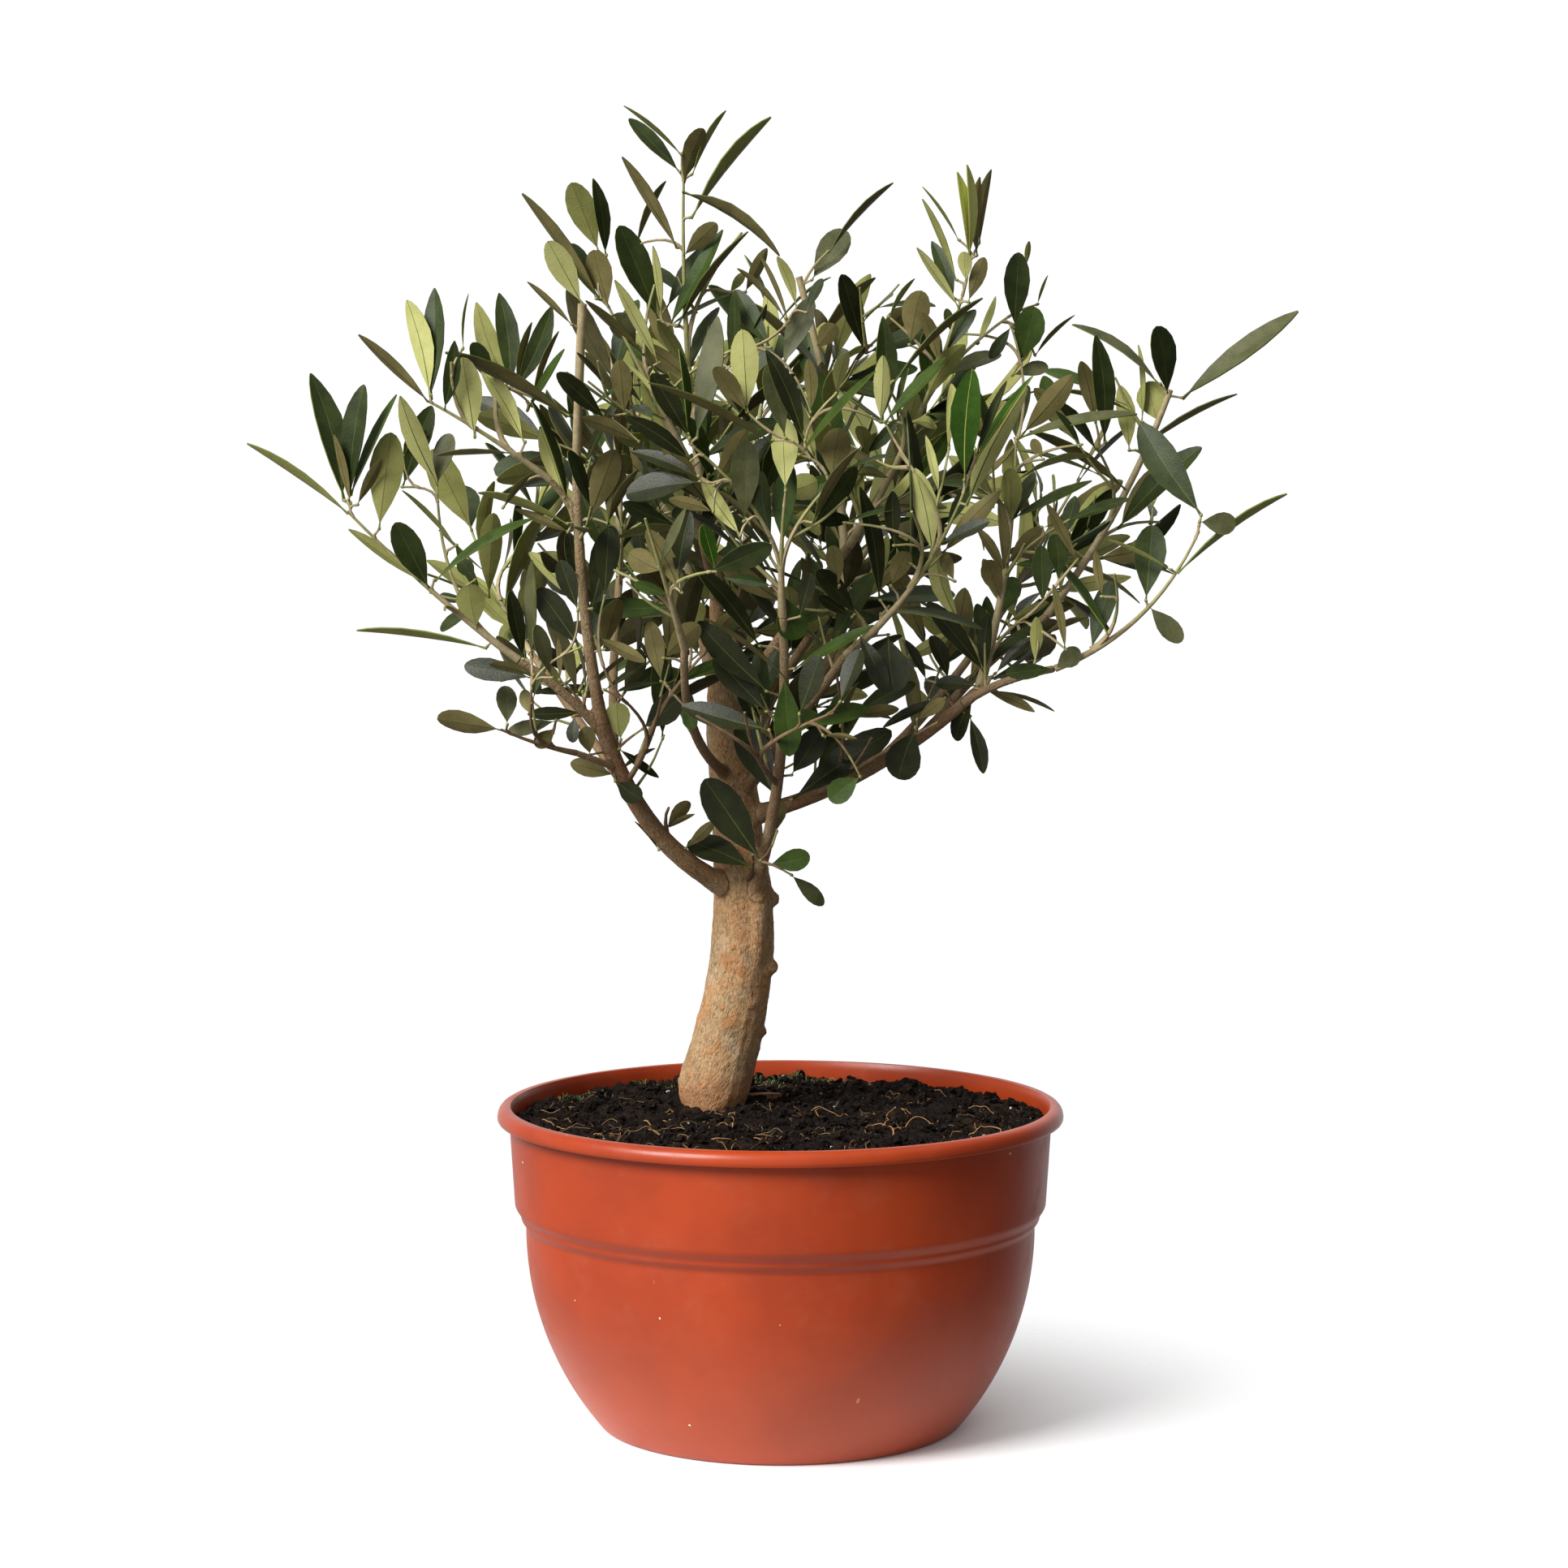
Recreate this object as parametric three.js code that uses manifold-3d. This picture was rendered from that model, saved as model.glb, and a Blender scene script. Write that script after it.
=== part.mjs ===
// A potted olive tree: a plastic bowl pot, its soil, a leaning trunk with its boughs, and the sprays of
// leaves that they carry. Millimetres, +Z up, X to the right and Y away from the viewer.
// The origin is the centre of the pot's flat underside.
import * as THREE from "three";
import { mergeVertices } from "three/addons/utils/BufferGeometryUtils.js";
import Module from "manifold-3d";

const wasm = await Module();
wasm.setup();

// The pot: a round arc for the bowl, two small steps out to a nearly straight band, and a rolled lip.
const potHeight = 154;
const lipRadius = 135;
const lipDepth = 7.4;
const bandTopRadius = 129.3;
const bandFootRadius = 127;
const bandFoot = 109;
const bowlTop = 95;
const bowlTopRadius = 121.6;
const bowlArc = 145;
const footBevel = 1.2;
const shoulder = [[0, 1.2], [1.9, 4.4], [2.6, 7.4], [5.2, 11.6]]; // the steps: how far out, how far up
const potWall = 1.8;
const potFloor = 2.6;
const potFacets = 28;
const wallSteps = 4;
const bowlHeights = [footBevel, 12, 27, 45, 66, bowlTop - 3];
const lipOutline = [
  [lipRadius - 2, potHeight - lipDepth + 0.4],
  [lipRadius, potHeight - 5],
  [lipRadius - 1.2, potHeight - 1.6],
  [lipRadius - 4, potHeight],
  [bandTopRadius - 0.6, potHeight - 1.4],
];

// The soil, which fills the pot to a little under its lip, with a low mound at the trunk.
const soilLevel = 145;
const soilClearance = 0.4;
const soilRings = 6;
const mound = { height: 4, spread: 46 };
const lumps = { height: 1.3, broad: [11, 9], shift: [1.3, 0.4], fine: [5.3, 6.1], fineShare: 0.6 };

// Neighbours keep this far apart.
const gap = 0.3;

// The trunk's centreline from the ground to its fork, as x, y, z and radius.
const trunkStations = [
  [-37, 24, 146, 19.5],
  [-30, 23, 165, 17.3],
  [-20, 20, 206, 15.6],
  [-17, 17, 240, 15],
  [-20, 13, 276, 12.6],
  [-22, 11, 305, 11.6],
  [-26, 9, 336, 9.8],
  [-28, 8, 357, 6.4],
];
const trunkFacets = 14;
const flare = { lobes: 5, turn: 0.6, height: 26, share: 0.09 };
const oval = { share: 0.03, pitch: 17 }; // how oval the trunk is, and how fast that turns with its height

// Old pruning scars on the trunk: height, direction in degrees from +X, how far each stands out, and size.
const knotRadius = 15; // of the trunk where they are
const knots = [
  { z: 217, bearing: -14, proud: 3.2, size: 7 },
  { z: 185, bearing: -4, proud: 2.2, size: 5 },
  { z: 250, bearing: -12, proud: 3.4, size: 7 },
  { z: 222, bearing: 241, proud: 1.6, size: 8 },
  { z: 290, bearing: 262, proud: 1.4, size: 7 },
  { z: 226, bearing: 110, proud: 2.4, size: 7 },
];

// Each bough: what carries it and how far along, its tip, how far its middle bows out of line, and its
// radius at each end.
const boughs = {
  left_bough: { on: "trunk", at: 0.51, tip: [-82, -44, 336], bow: [-7, -6, -10], girth: [5.2, 3.9] },
  left_stick: { on: "left_bough", at: 1, tip: [-92, -72, 461], bow: [-3, -1, -1], girth: [3.1, 2.2] },
  left_high_arm: { on: "left_stick", at: 0.75, tip: [-104, -72, 450], bow: [1, 1, 1], girth: [1.9, 1.7] },
  left_arm: { on: "left_bough", at: 0.96, tip: [-120, -56, 368], bow: [1, 0, 2], girth: [2.6, 2] },
  left_back_stick: { on: "left_bough", at: 0.87, tip: [-77, 22, 404], bow: [-2, 5, -4], girth: [2.5, 2] },
  left_skirt_arm: { on: "left_bough", at: 0.82, tip: [-94, -53, 325], bow: [1, -1, 0], girth: [1.9, 1.7] },
  left_back_bough: { on: "left_bough", at: 0.49, tip: [-125, 104, 364], bow: [2, 4, -4], girth: [2.9, 2] },
  front_shoot: { on: "trunk", at: 0.45, tip: [1, -88, 389], bow: [7, -5, -5], girth: [3.4, 2.2] },
  right_bough: { on: "trunk", at: 0.68, tip: [92, -36, 353], bow: [3, -2, -8], girth: [4.3, 2.8] },
  right_arm: { on: "right_bough", at: 0.92, tip: [126, -56, 364], bow: [-3, -3, 2], girth: [2.3, 1.9] },
  right_upper_arm: { on: "right_bough", at: 0.78, tip: [128, 32, 385], bow: [-4, 4, 0], girth: [2.5, 2] },
  right_back_bough: { on: "right_bough", at: 0.53, tip: [113, 104, 388], bow: [-3, 8, -10], girth: [2.8, 2] },
  middle_right_bough: { on: "trunk", at: 0.82, tip: [32, 60, 383], bow: [6, 4, -8], girth: [3.6, 2.6] },
  inner_right_bough: { on: "trunk", at: 0.72, tip: [30, -56, 370], bow: [-1, -4, -2], girth: [2.9, 2.2] },
  leader: { on: "trunk", at: 1, tip: [-30, 2, 402], bow: [-1, 0, 0], girth: [4.8, 3.1] },
  upper_left_bough: { on: "leader", at: 0.82, tip: [-43, -40, 460], bow: [0, -3, -4], girth: [2.5, 1.9] },
  upper_right_bough: { on: "trunk", at: 0.91, tip: [32, -7, 419], bow: [-1, 0, 0], girth: [3.3, 2.4] },
  front_left_bough: { on: "trunk", at: 0.77, tip: [-43, -84, 374], bow: [-7, -3, -7], girth: [2.8, 2] },
  back_left_bough: { on: "trunk", at: 0.85, tip: [-44, 96, 401], bow: [-1, 2, -3], girth: [3.3, 2.3] },
  back_right_bough: { on: "trunk", at: 0.75, tip: [28, 106, 390], bow: [-6, 4, -1], girth: [3.3, 2.3] },
  back_low_bough: { on: "trunk", at: 0.62, tip: [2, 130, 370], bow: [-2, 2, -8], girth: [3.5, 2.2] },
  top_back_bough: { on: "trunk", at: 0.93, tip: [-17, 50, 412], bow: [1, 3, -2], girth: [3.2, 2.4] },
};
const boughFacets = 6;
const boughStep = 24;

// Each spray of leaves: what carries its stem, the stem's tip and bow, its side shoots, each as a share of
// the way along the stem and the shoot's tip, the usual length of its leaves, and its seed.
const sprays = {
  left_tall_spray: {
    on: "left_stick",
    tip: [-88, -92, 528],
    bow: [0, -2, 0],
    shoots: [],
    leaf: 46,
    seed: 11,
  },
  left_high_spray: {
    on: "left_high_arm",
    tip: [-157, -90, 485],
    bow: [1, -2, 1],
    shoots: [[0.3, [-128, -66, 494]], [0.62, [-146, -98, 502]]],
    leaf: 48,
    seed: 23,
  },
  left_low_spray: {
    on: "left_arm",
    tip: [-196, -70, 436],
    bow: [-1, -1, -2],
    shoots: [[0.12, [-159, -32, 449]], [0.3, [-150, -94, 392]]],
    leaf: 52,
    seed: 35,
  },
  left_back_spray: {
    on: "left_back_stick",
    tip: [-82, 60, 510],
    bow: [1, 2, -1],
    shoots: [[0.12, [-50, 34, 436]], [0.36, [-114, 38, 470]]],
    leaf: 46,
    seed: 41,
  },
  left_skirt_spray: {
    on: "left_skirt_arm",
    tip: [-127, -72, 337],
    bow: [0, -1, -1],
    shoots: [[0.3, [-112, -88, 350]]],
    leaf: 34,
    seed: 53,
  },
  far_left_back_spray: {
    on: "left_back_bough",
    tip: [-159, 148, 427],
    bow: [-2, 3, -3],
    shoots: [[0.25, [-176, 92, 404]], [0.45, [-124, 160, 424]]],
    leaf: 50,
    seed: 67,
  },
  low_sprig: {
    on: "trunk",
    at: 0.53,
    tip: [-13, -32, 276],
    bow: [2, -1, -2],
    shoots: [],
    leaf: 42,
    seed: 71,
  },
  left_low_sprig: {
    on: "left_bough",
    at: 0.42,
    tip: [-52, -32, 298],
    bow: [-2, -1, 2],
    shoots: [],
    leaf: 22,
    seed: 73,
  },
  left_inner_sprig: {
    on: "left_bough",
    at: 0.76,
    tip: [-54, -64, 352],
    bow: [2, -2, -2],
    shoots: [[0.4, [-72, -80, 352]], [0.6, [-34, -54, 372]]],
    leaf: 40,
    seed: 75,
  },
  middle_sprig: {
    on: "front_shoot",
    at: 0.5,
    tip: [-16, -92, 346],
    bow: [-2, -3, -3],
    shoots: [[0.4, [24, -92, 346]], [0.5, [-38, -84, 344]]],
    leaf: 42,
    seed: 77,
  },
  right_low_sprig: {
    on: "right_bough",
    at: 0.3,
    tip: [42, -54, 332],
    bow: [2, -3, -3],
    shoots: [[0.2, [26, -58, 360]], [0.4, [72, -66, 340]]],
    leaf: 42,
    seed: 79,
  },
  front_spray: {
    on: "front_shoot",
    tip: [2, -110, 441],
    bow: [-1, 0, 0],
    shoots: [[0.3, [-40, -118, 466]], [0.34, [30, -114, 456]]],
    leaf: 42,
    seed: 83,
  },
  right_upright_spray: {
    on: "right_bough",
    tip: [110, -16, 470],
    bow: [4, -1, -1],
    shoots: [[0.05, [112, -66, 388]], [0.4, [134, -34, 432]], [0.62, [86, -44, 452]]],
    leaf: 44,
    seed: 97,
  },
  right_low_spray: {
    on: "right_arm",
    tip: [190, -68, 427],
    bow: [6, -2, -7],
    shoots: [[0.2, [150, -88, 408]]],
    leaf: 46,
    seed: 101,
  },
  right_far_spray: {
    on: "right_upper_arm",
    tip: [189, 52, 494],
    bow: [4, 1, -3],
    shoots: [[0.3, [186, 68, 430]], [0.42, [150, 14, 466]]],
    leaf: 52,
    seed: 113,
  },
  far_right_back_spray: {
    on: "right_back_bough",
    tip: [153, 146, 452],
    bow: [-1, 2, -1],
    shoots: [[0.2, [168, 106, 412]], [0.45, [118, 158, 440]]],
    leaf: 50,
    seed: 127,
  },
  middle_right_spray: {
    on: "middle_right_bough",
    tip: [9, 78, 550],
    bow: [6, 5, 0],
    shoots: [[0.2, [66, 70, 436]], [0.55, [48, 60, 520]]],
    leaf: 50,
    seed: 131,
  },
  inner_right_spray: {
    on: "inner_right_bough",
    tip: [83, -92, 447],
    bow: [5, -1, -4],
    shoots: [[0.1, [12, -76, 404]], [0.45, [58, -112, 436]], [0.65, [54, -70, 462]]],
    leaf: 50,
    seed: 149,
  },
  crown_top_spray: {
    on: "leader",
    tip: [-45, -10, 592],
    bow: [-5, -2, -1],
    shoots: [[0.08, [-2, -30, 444]], [0.38, [-20, -34, 512]], [0.56, [-18, 0, 566]]],
    leaf: 44,
    seed: 151,
  },
  upper_left_spray: {
    on: "upper_left_bough",
    tip: [-80, -48, 532],
    bow: [0, -3, 0],
    shoots: [[0.4, [-58, -30, 540]], [0.2, [-22, -76, 508]]],
    leaf: 46,
    seed: 163,
  },
  upper_right_spray: {
    on: "upper_right_bough",
    tip: [86, -30, 542],
    bow: [5, -1, -2],
    shoots: [[0.1, [62, -38, 448]], [0.34, [46, -52, 496]], [0.52, [112, -6, 530]]],
    leaf: 48,
    seed: 179,
  },
  front_left_spray: {
    on: "front_left_bough",
    tip: [-59, -128, 433],
    bow: [1, -3, -2],
    shoots: [[0.3, [-74, -102, 410]], [0.4, [-30, -130, 410]]],
    leaf: 42,
    seed: 181,
  },
  back_left_spray: {
    on: "back_left_bough",
    tip: [-80, 160, 501],
    bow: [-1, 3, -2],
    shoots: [[0.08, [-18, 112, 436]], [0.34, [-100, 120, 456]], [0.5, [-42, 168, 476]]],
    leaf: 50,
    seed: 193,
  },
  back_right_spray: {
    on: "back_right_bough",
    tip: [83, 166, 493],
    bow: [1, 3, -2],
    shoots: [[0.08, [8, 116, 436]], [0.36, [96, 128, 446]], [0.5, [34, 172, 470]]],
    leaf: 50,
    seed: 211,
  },
  back_low_spray: {
    on: "back_low_bough",
    tip: [18, 180, 428],
    bow: [1, 2, -3],
    shoots: [[0.2, [-36, 158, 402]], [0.3, [54, 158, 404]]],
    leaf: 48,
    seed: 223,
  },
  top_back_spray: {
    on: "top_back_bough",
    tip: [-3, 98, 528],
    bow: [-2, 3, -1],
    shoots: [[0.08, [-44, 66, 452]], [0.45, [-48, 80, 502]], [0.55, [32, 104, 500]]],
    leaf: 48,
    seed: 239,
  },
};

// The rule by which a spray grows: pairs of leaves along each shoot, each pair turned a quarter turn from
// the last, and a side twig from some of the nodes.
const rule = {
  stemRadius: 1.7,
  shootRadius: 1.4,
  twigRadius: 1.2,
  tipRadius: 1,
  step: 30,
  neck: 3,
  neckRadius: 0.5,
  bareStart: 13,
  internode: 44,
  twigEvery: 2,
  twigLength: 46,
  twigSpread: 48,
  leafSpread: 46,
  leafSpreadTip: 22,
  leafJitter: 14,
  leafRoll: 70,
  pairTurn: 90,
  tries: [[1, 1], [0.45, 0.9], [1, 0.7]],
  lowestLeaf: 172,
};

// A leaf's solid: a flat underside and a low ridge on top, wider than life because there are fewer.
const leafWidth = 0.28;
const leafThickness = 1.3;
const leafSunk = 0.4;
const leafRidge = 0.16;
const leafGrowth = 1.15;
const leafWidest = 0.52;
const leafTestedFrom = 0.15; // its root end lies in its twig, so it is tested from here on

// How far a leaf and a twig keep from the edge of the spray's own space, and from every limb.
const leafMargin = 1.8;
const twigMargin = 2.4;

const colours = { pot: 0xb8502d, soil: 0x2c211b, bark: 0x9b7f5c, leaf: 0x54633c };

// The same numbers on every run for the same seed.
function seeded(seed) {
  let state = seed >>> 0;
  return () => {
    state = (Math.imul(state, 1664525) + 1013904223) >>> 0;
    return state / 4294967296;
  };
}

const vector = (p) => new THREE.Vector3(p[0], p[1], p[2]);
const radians = THREE.MathUtils.degToRad;

// A line whose corners are cut off, so that it bends softly between the same two ends.
function rounded(line) {
  const cut = [line[0]];
  for (let i = 0; i < line.length - 1; i += 1) {
    cut.push(line[i].map((v, k) => 0.75 * v + 0.25 * line[i + 1][k]));
    cut.push(line[i].map((v, k) => 0.25 * v + 0.75 * line[i + 1][k]));
  }
  return [...cut, line[line.length - 1]];
}

// The length of a line up to each of its points.
function lengthsOf(line) {
  const lengths = [0];
  for (let i = 1; i < line.length; i += 1) {
    lengths.push(lengths[i - 1] + vector(line[i]).distanceTo(vector(line[i - 1])));
  }
  return lengths;
}

// The point at a distance along a line, and the heading there.
function along(line, lengths, distance) {
  let i = 0;
  while (i < line.length - 2 && lengths[i + 1] < distance) i += 1;
  const share = (distance - lengths[i]) / (lengths[i + 1] - lengths[i]);
  const point = line[i].map((v, k) => v + share * (line[i + 1][k] - v));
  return { point, heading: vector(line[i + 1]).sub(vector(line[i])).normalize() };
}

// The point a share of the way along a line.
function pointAt(line, share) {
  const lengths = lengthsOf(line);
  return along(line, lengths, share * lengths[lengths.length - 1]).point;
}

// A curve from a start to a tip by way of a control point, as points about a step apart.
function curved(start, control, tip, step) {
  const curve = new THREE.QuadraticBezierCurve3(vector(start), control, vector(tip));
  const count = Math.max(2, Math.round(vector(start).distanceTo(vector(tip)) / step));
  return curve.getPoints(count).map((p) => p.toArray());
}

// A curve whose middle bows out of the straight line from its start to its tip.
function bowed(start, tip, bow, step) {
  return curved(start, vector(start).lerp(vector(tip), 0.5).addScaledVector(vector(bow), 2), tip, step);
}

// How far a point is from the surface of a line with a radius at each of its points.
function distanceTo(limb, point) {
  let least = Infinity;
  for (let i = 0; i < limb.length - 1; i += 1) {
    const a = vector(limb[i]);
    const way = vector(limb[i + 1]).sub(a);
    const share = Math.min(1, Math.max(0, point.clone().sub(a).dot(way) / way.lengthSq()));
    const radius = limb[i][3] + share * (limb[i + 1][3] - limb[i][3]);
    least = Math.min(least, point.distanceTo(a.addScaledVector(way, share)) - radius);
  }
  return least;
}

// A line's points with a radius that tapers evenly from one end to the other.
function tapered(points, from, to) {
  return points.map((p, i) => [p[0], p[1], p[2], from + ((to - from) * i) / (points.length - 1)]);
}

// A closed solid from a three.js geometry.
function solidFrom(geometry) {
  const bare = geometry.clone();
  bare.deleteAttribute("normal");
  bare.deleteAttribute("uv");
  const merged = mergeVertices(bare, 1e-4);
  const triVerts = new Uint32Array(merged.index.array);
  const vertProperties = merged.attributes.position.array;
  return new wasm.Manifold(new wasm.Mesh({ numProp: 3, vertProperties, triVerts }));
}

// A three.js geometry from a solid.
function geometryFrom(solid) {
  const { vertProperties, triVerts } = solid.getMesh();
  const geometry = new THREE.BufferGeometry();
  geometry.setAttribute("position", new THREE.BufferAttribute(new Float32Array(vertProperties), 3));
  geometry.setIndex(new THREE.BufferAttribute(new Uint32Array(triVerts), 1));
  const faceted = geometry.toNonIndexed();
  faceted.computeVertexNormals();
  return faceted;
}

const largest = (solid) => solid.decompose().sort((a, b) => b.volume() - a.volume())[0];

// A closed skin over rings of points, each ring counter-clockwise round the way from the first to the last.
function skinned(rings) {
  const faces = [];
  rings.slice(1).forEach((ring, i) => {
    ring.forEach((point, k) => {
      const next = (k + 1) % ring.length;
      faces.push([rings[i][k], rings[i][next], ring[next]], [rings[i][k], ring[next], point]);
    });
  });
  const [first, last] = [rings[0], rings[rings.length - 1]];
  for (let k = 1; k < first.length - 1; k += 1) {
    faces.push([first[0], first[k + 1], first[k]], [last[0], last[k], last[k + 1]]);
  }
  return solidFrom(new THREE.BufferGeometry().setFromPoints(faces.flat()));
}

// A tube along a limb's points, with its radius at each, swollen and lengthened by the margin.
function limbSolid(limb, facets, margin = 0) {
  const centres = limb.map(vector);
  const headings = centres.map((c, i) => {
    const next = centres[Math.min(i + 1, centres.length - 1)];
    return next.clone().sub(centres[Math.max(i - 1, 0)]).normalize();
  });
  const across = [new THREE.Vector3(0.31, 0.23, 0.92).cross(headings[0]).normalize()];
  for (let i = 1; i < limb.length; i += 1) {
    across.push(across[i - 1].clone().projectOnPlane(headings[i]).normalize());
  }
  centres[0].addScaledVector(headings[0], -margin);
  centres[limb.length - 1].addScaledVector(headings[limb.length - 1], margin);
  const rings = centres.map((centre, i) => {
    const spoke = across[i].clone().multiplyScalar(limb[i][3] + margin);
    return Array.from({ length: facets }, (_, k) => {
      return spoke.clone().applyAxisAngle(headings[i], (2 * Math.PI * k) / facets).add(centre);
    });
  });
  return skinned(rings);
}

// How far the trunk's surface stands out from its round section at a height and a bearing.
function trunkRelief(z, bearing) {
  const rise = Math.max(0, 1 - (z - trunkStations[0][2]) / flare.height);
  let relief = 1 + flare.share * rise * Math.cos(flare.lobes * bearing + flare.turn);
  relief += oval.share * Math.sin(2 * bearing + z / oval.pitch);
  const proud = knots.reduce((sum, knot) => {
    const turn = Math.cos(bearing - radians(knot.bearing));
    const away = Math.hypot(z - knot.z, knotRadius * Math.acos(Math.min(1, Math.max(-1, turn))));
    return sum + knot.proud * Math.exp(-((away / knot.size) ** 2));
  }, 0);
  return { relief, proud };
}

// The trunk, with level sections, so that its foot is a flat cut on the ground.
function trunkSolid(limb, margin = 0) {
  const rings = limb.map(([x, y, z, radius], i) => {
    const end = i === 0 ? -margin : i === limb.length - 1 ? margin : 0;
    return Array.from({ length: trunkFacets }, (_, k) => {
      const bearing = (2 * Math.PI * k) / trunkFacets;
      const { relief, proud } = trunkRelief(z, bearing);
      const reach = radius * relief + proud + margin;
      return new THREE.Vector3(x + reach * Math.cos(bearing), y + reach * Math.sin(bearing), z + end);
    });
  });
  return skinned(rings);
}

// The bowl's round wall at a height, moved in by a margin.
const bowlRadius = (z, inset) =>
  bowlTopRadius - bowlArc + Math.sqrt((bowlArc - inset) ** 2 - (bowlTop - Math.max(z, 0)) ** 2);

// The wall's inner side from the floor up to the band's top, moved in by a margin.
function innerProfile(inset) {
  const bowl = Array.from({ length: wallSteps + 1 }, (_, i) => {
    const z = potFloor + ((bowlTop - potFloor) * i) / wallSteps;
    return new THREE.Vector2(bowlRadius(z, inset), z);
  });
  const band = [
    new THREE.Vector2(bandFootRadius - inset, bandFoot),
    new THREE.Vector2(bandTopRadius - inset, potHeight - lipDepth),
  ];
  return [...bowl, ...band];
}

function potSolid() {
  const outer = [
    [0, 0],
    [bowlRadius(0, 0) - footBevel, 0],
    ...bowlHeights.map((z) => [bowlRadius(z, 0), z]),
    ...shoulder.map(([out, rise]) => [bowlTopRadius + out, bowlTop + rise]),
    [bandFootRadius, bandFoot],
    [bandTopRadius, potHeight - lipDepth],
    ...lipOutline,
  ].map(([r, z]) => new THREE.Vector2(r, z));
  const inner = [...innerProfile(potWall).reverse(), new THREE.Vector2(0, potFloor)];
  return solidFrom(standing(new THREE.LatheGeometry([...outer, ...inner], potFacets)));
}

// A turned shape stands on its end: three.js turns it about Y.
const standing = (turned) => turned.rotateX(Math.PI / 2);

// The soil's surface: a mound at the trunk, and low lumps.
function soilHeight(x, y) {
  const [footX, footY] = trunkStations[0];
  const away = Math.hypot(x - footX, y - footY) / mound.spread;
  const broad = Math.sin(x / lumps.broad[0] + lumps.shift[0]) * Math.cos(y / lumps.broad[1] - lumps.shift[1]);
  const fine = lumps.fineShare * Math.sin(x / lumps.fine[0] - y / lumps.fine[1]);
  return soilLevel + mound.height * Math.exp(-away * away) + lumps.height * (broad + fine);
}

function soilSolid(seat) {
  const wall = innerProfile(potWall + soilClearance);
  wall[0].y += soilClearance;
  const floor = new THREE.Vector2(0, wall[0].y);
  const edge = wall.pop();
  edge.y = soilLevel;
  const top = Array.from({ length: soilRings + 1 }, (_, i) => {
    return new THREE.Vector2(edge.x * (1 - i / soilRings), soilLevel);
  });
  const turned = standing(new THREE.LatheGeometry([floor, ...wall, ...top], potFacets));
  const place = turned.attributes.position;
  for (let v = 0; v < place.count; v += 1) {
    if (place.getZ(v) < soilLevel - 0.01) continue;
    place.setZ(v, soilHeight(place.getX(v), place.getY(v)));
  }
  return solidFrom(turned).subtract(seat);
}

// A leaf's own corners: where its root, its widest place and its tip are.
function leafCorners(leaf, from = 0) {
  const length = leaf.length * leafGrowth;
  const side = new THREE.Vector3().crossVectors(leaf.face, leaf.heading);
  const at = (share, out) =>
    vector(leaf.root).addScaledVector(leaf.heading, share * length).addScaledVector(side, out * length);
  return [at(from, 0), at(leafWidest, leafWidth / 2), at(1, 0), at(leafWidest, -leafWidth / 2)];
}

// A leaf: flat below, with a ridge above that is highest near its root, which is sunk in its twig.
function leafSolid(leaf) {
  const [base, left, tip, right] = leafCorners(leaf);
  const root = base.clone().addScaledVector(leaf.heading, -leafSunk);
  root.addScaledVector(leaf.face, -leafThickness / 4);
  const ridge = base.clone().lerp(tip, leafRidge).addScaledVector(leaf.face, leafThickness);
  const faces = [
    [root, ridge, left],
    [root, right, ridge],
    [left, ridge, tip],
    [ridge, right, tip],
    [root, left, right],
    [left, tip, right],
  ];
  return solidFrom(new THREE.BufferGeometry().setFromPoints(faces.flat()));
}

// The places of a leaf that are tested against its neighbours.
function leafPlaces(leaf) {
  const [root, left, tip, right] = leafCorners(leaf, 0.2);
  const middle = left.clone().lerp(right, 0.5);
  const between = [[root, left], [root, right], [root, middle], [left, tip], [right, tip], [middle, tip]];
  return [left, right, middle, tip, ...between.map(([from, to]) => from.clone().lerp(to, 0.5))];
}

// Whether a line from one point to another passes through a leaf.
function pierces(from, to, [root, left, tip, right]) {
  const way = to.clone().sub(from);
  const ray = new THREE.Ray(from, way.clone().normalize());
  return [[root, left, tip], [root, tip, right]].some((half) => {
    const hit = ray.intersectTriangle(...half, false, new THREE.Vector3());
    return hit && hit.distanceTo(from) < way.length();
  });
}

// Whether two leaves pass through one another.
function cross(one, other) {
  const touches = (leaf, second) => {
    return leaf.some((corner, i) => pierces(corner, leaf[(i + 1) % leaf.length], second));
  };
  return touches(one, other) || touches(other, one);
}

// The lines of a spray's stem and its named side shoots, each with its radius.
function shootsOf(spray, limbs) {
  const stem = bowed(pointAt(limbs[spray.on], spray.at ?? 1), spray.tip, spray.bow, rule.step);
  const lengths = lengthsOf(stem);
  const lines = [tapered(stem, rule.stemRadius, rule.tipRadius)];
  spray.shoots.forEach(([share, tip]) => {
    const { point, heading } = along(stem, lengths, share * lengths[lengths.length - 1]);
    const control = vector(point).addScaledVector(heading, 0.4 * vector(tip).distanceTo(vector(point)));
    lines.push(tapered(curved(point, control, tip, rule.step), rule.shootRadius, rule.tipRadius));
  });
  return lines;
}

// How much a twig bends upwards on its way out.
const lift = new THREE.Vector3(0, 0, 0.35);

// A heading turned away from a line's own by a spread, on the side that a bearing gives.
function turned(heading, bearing, spread) {
  const up = Math.abs(heading.z) < 0.9 ? new THREE.Vector3(0, 0, 1) : new THREE.Vector3(1, 0, 0);
  const out = up.projectOnPlane(heading).normalize().applyAxisAngle(heading, radians(bearing));
  const angle = radians(spread);
  return heading.clone().multiplyScalar(Math.cos(angle)).addScaledVector(out, Math.sin(angle));
}

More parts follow.
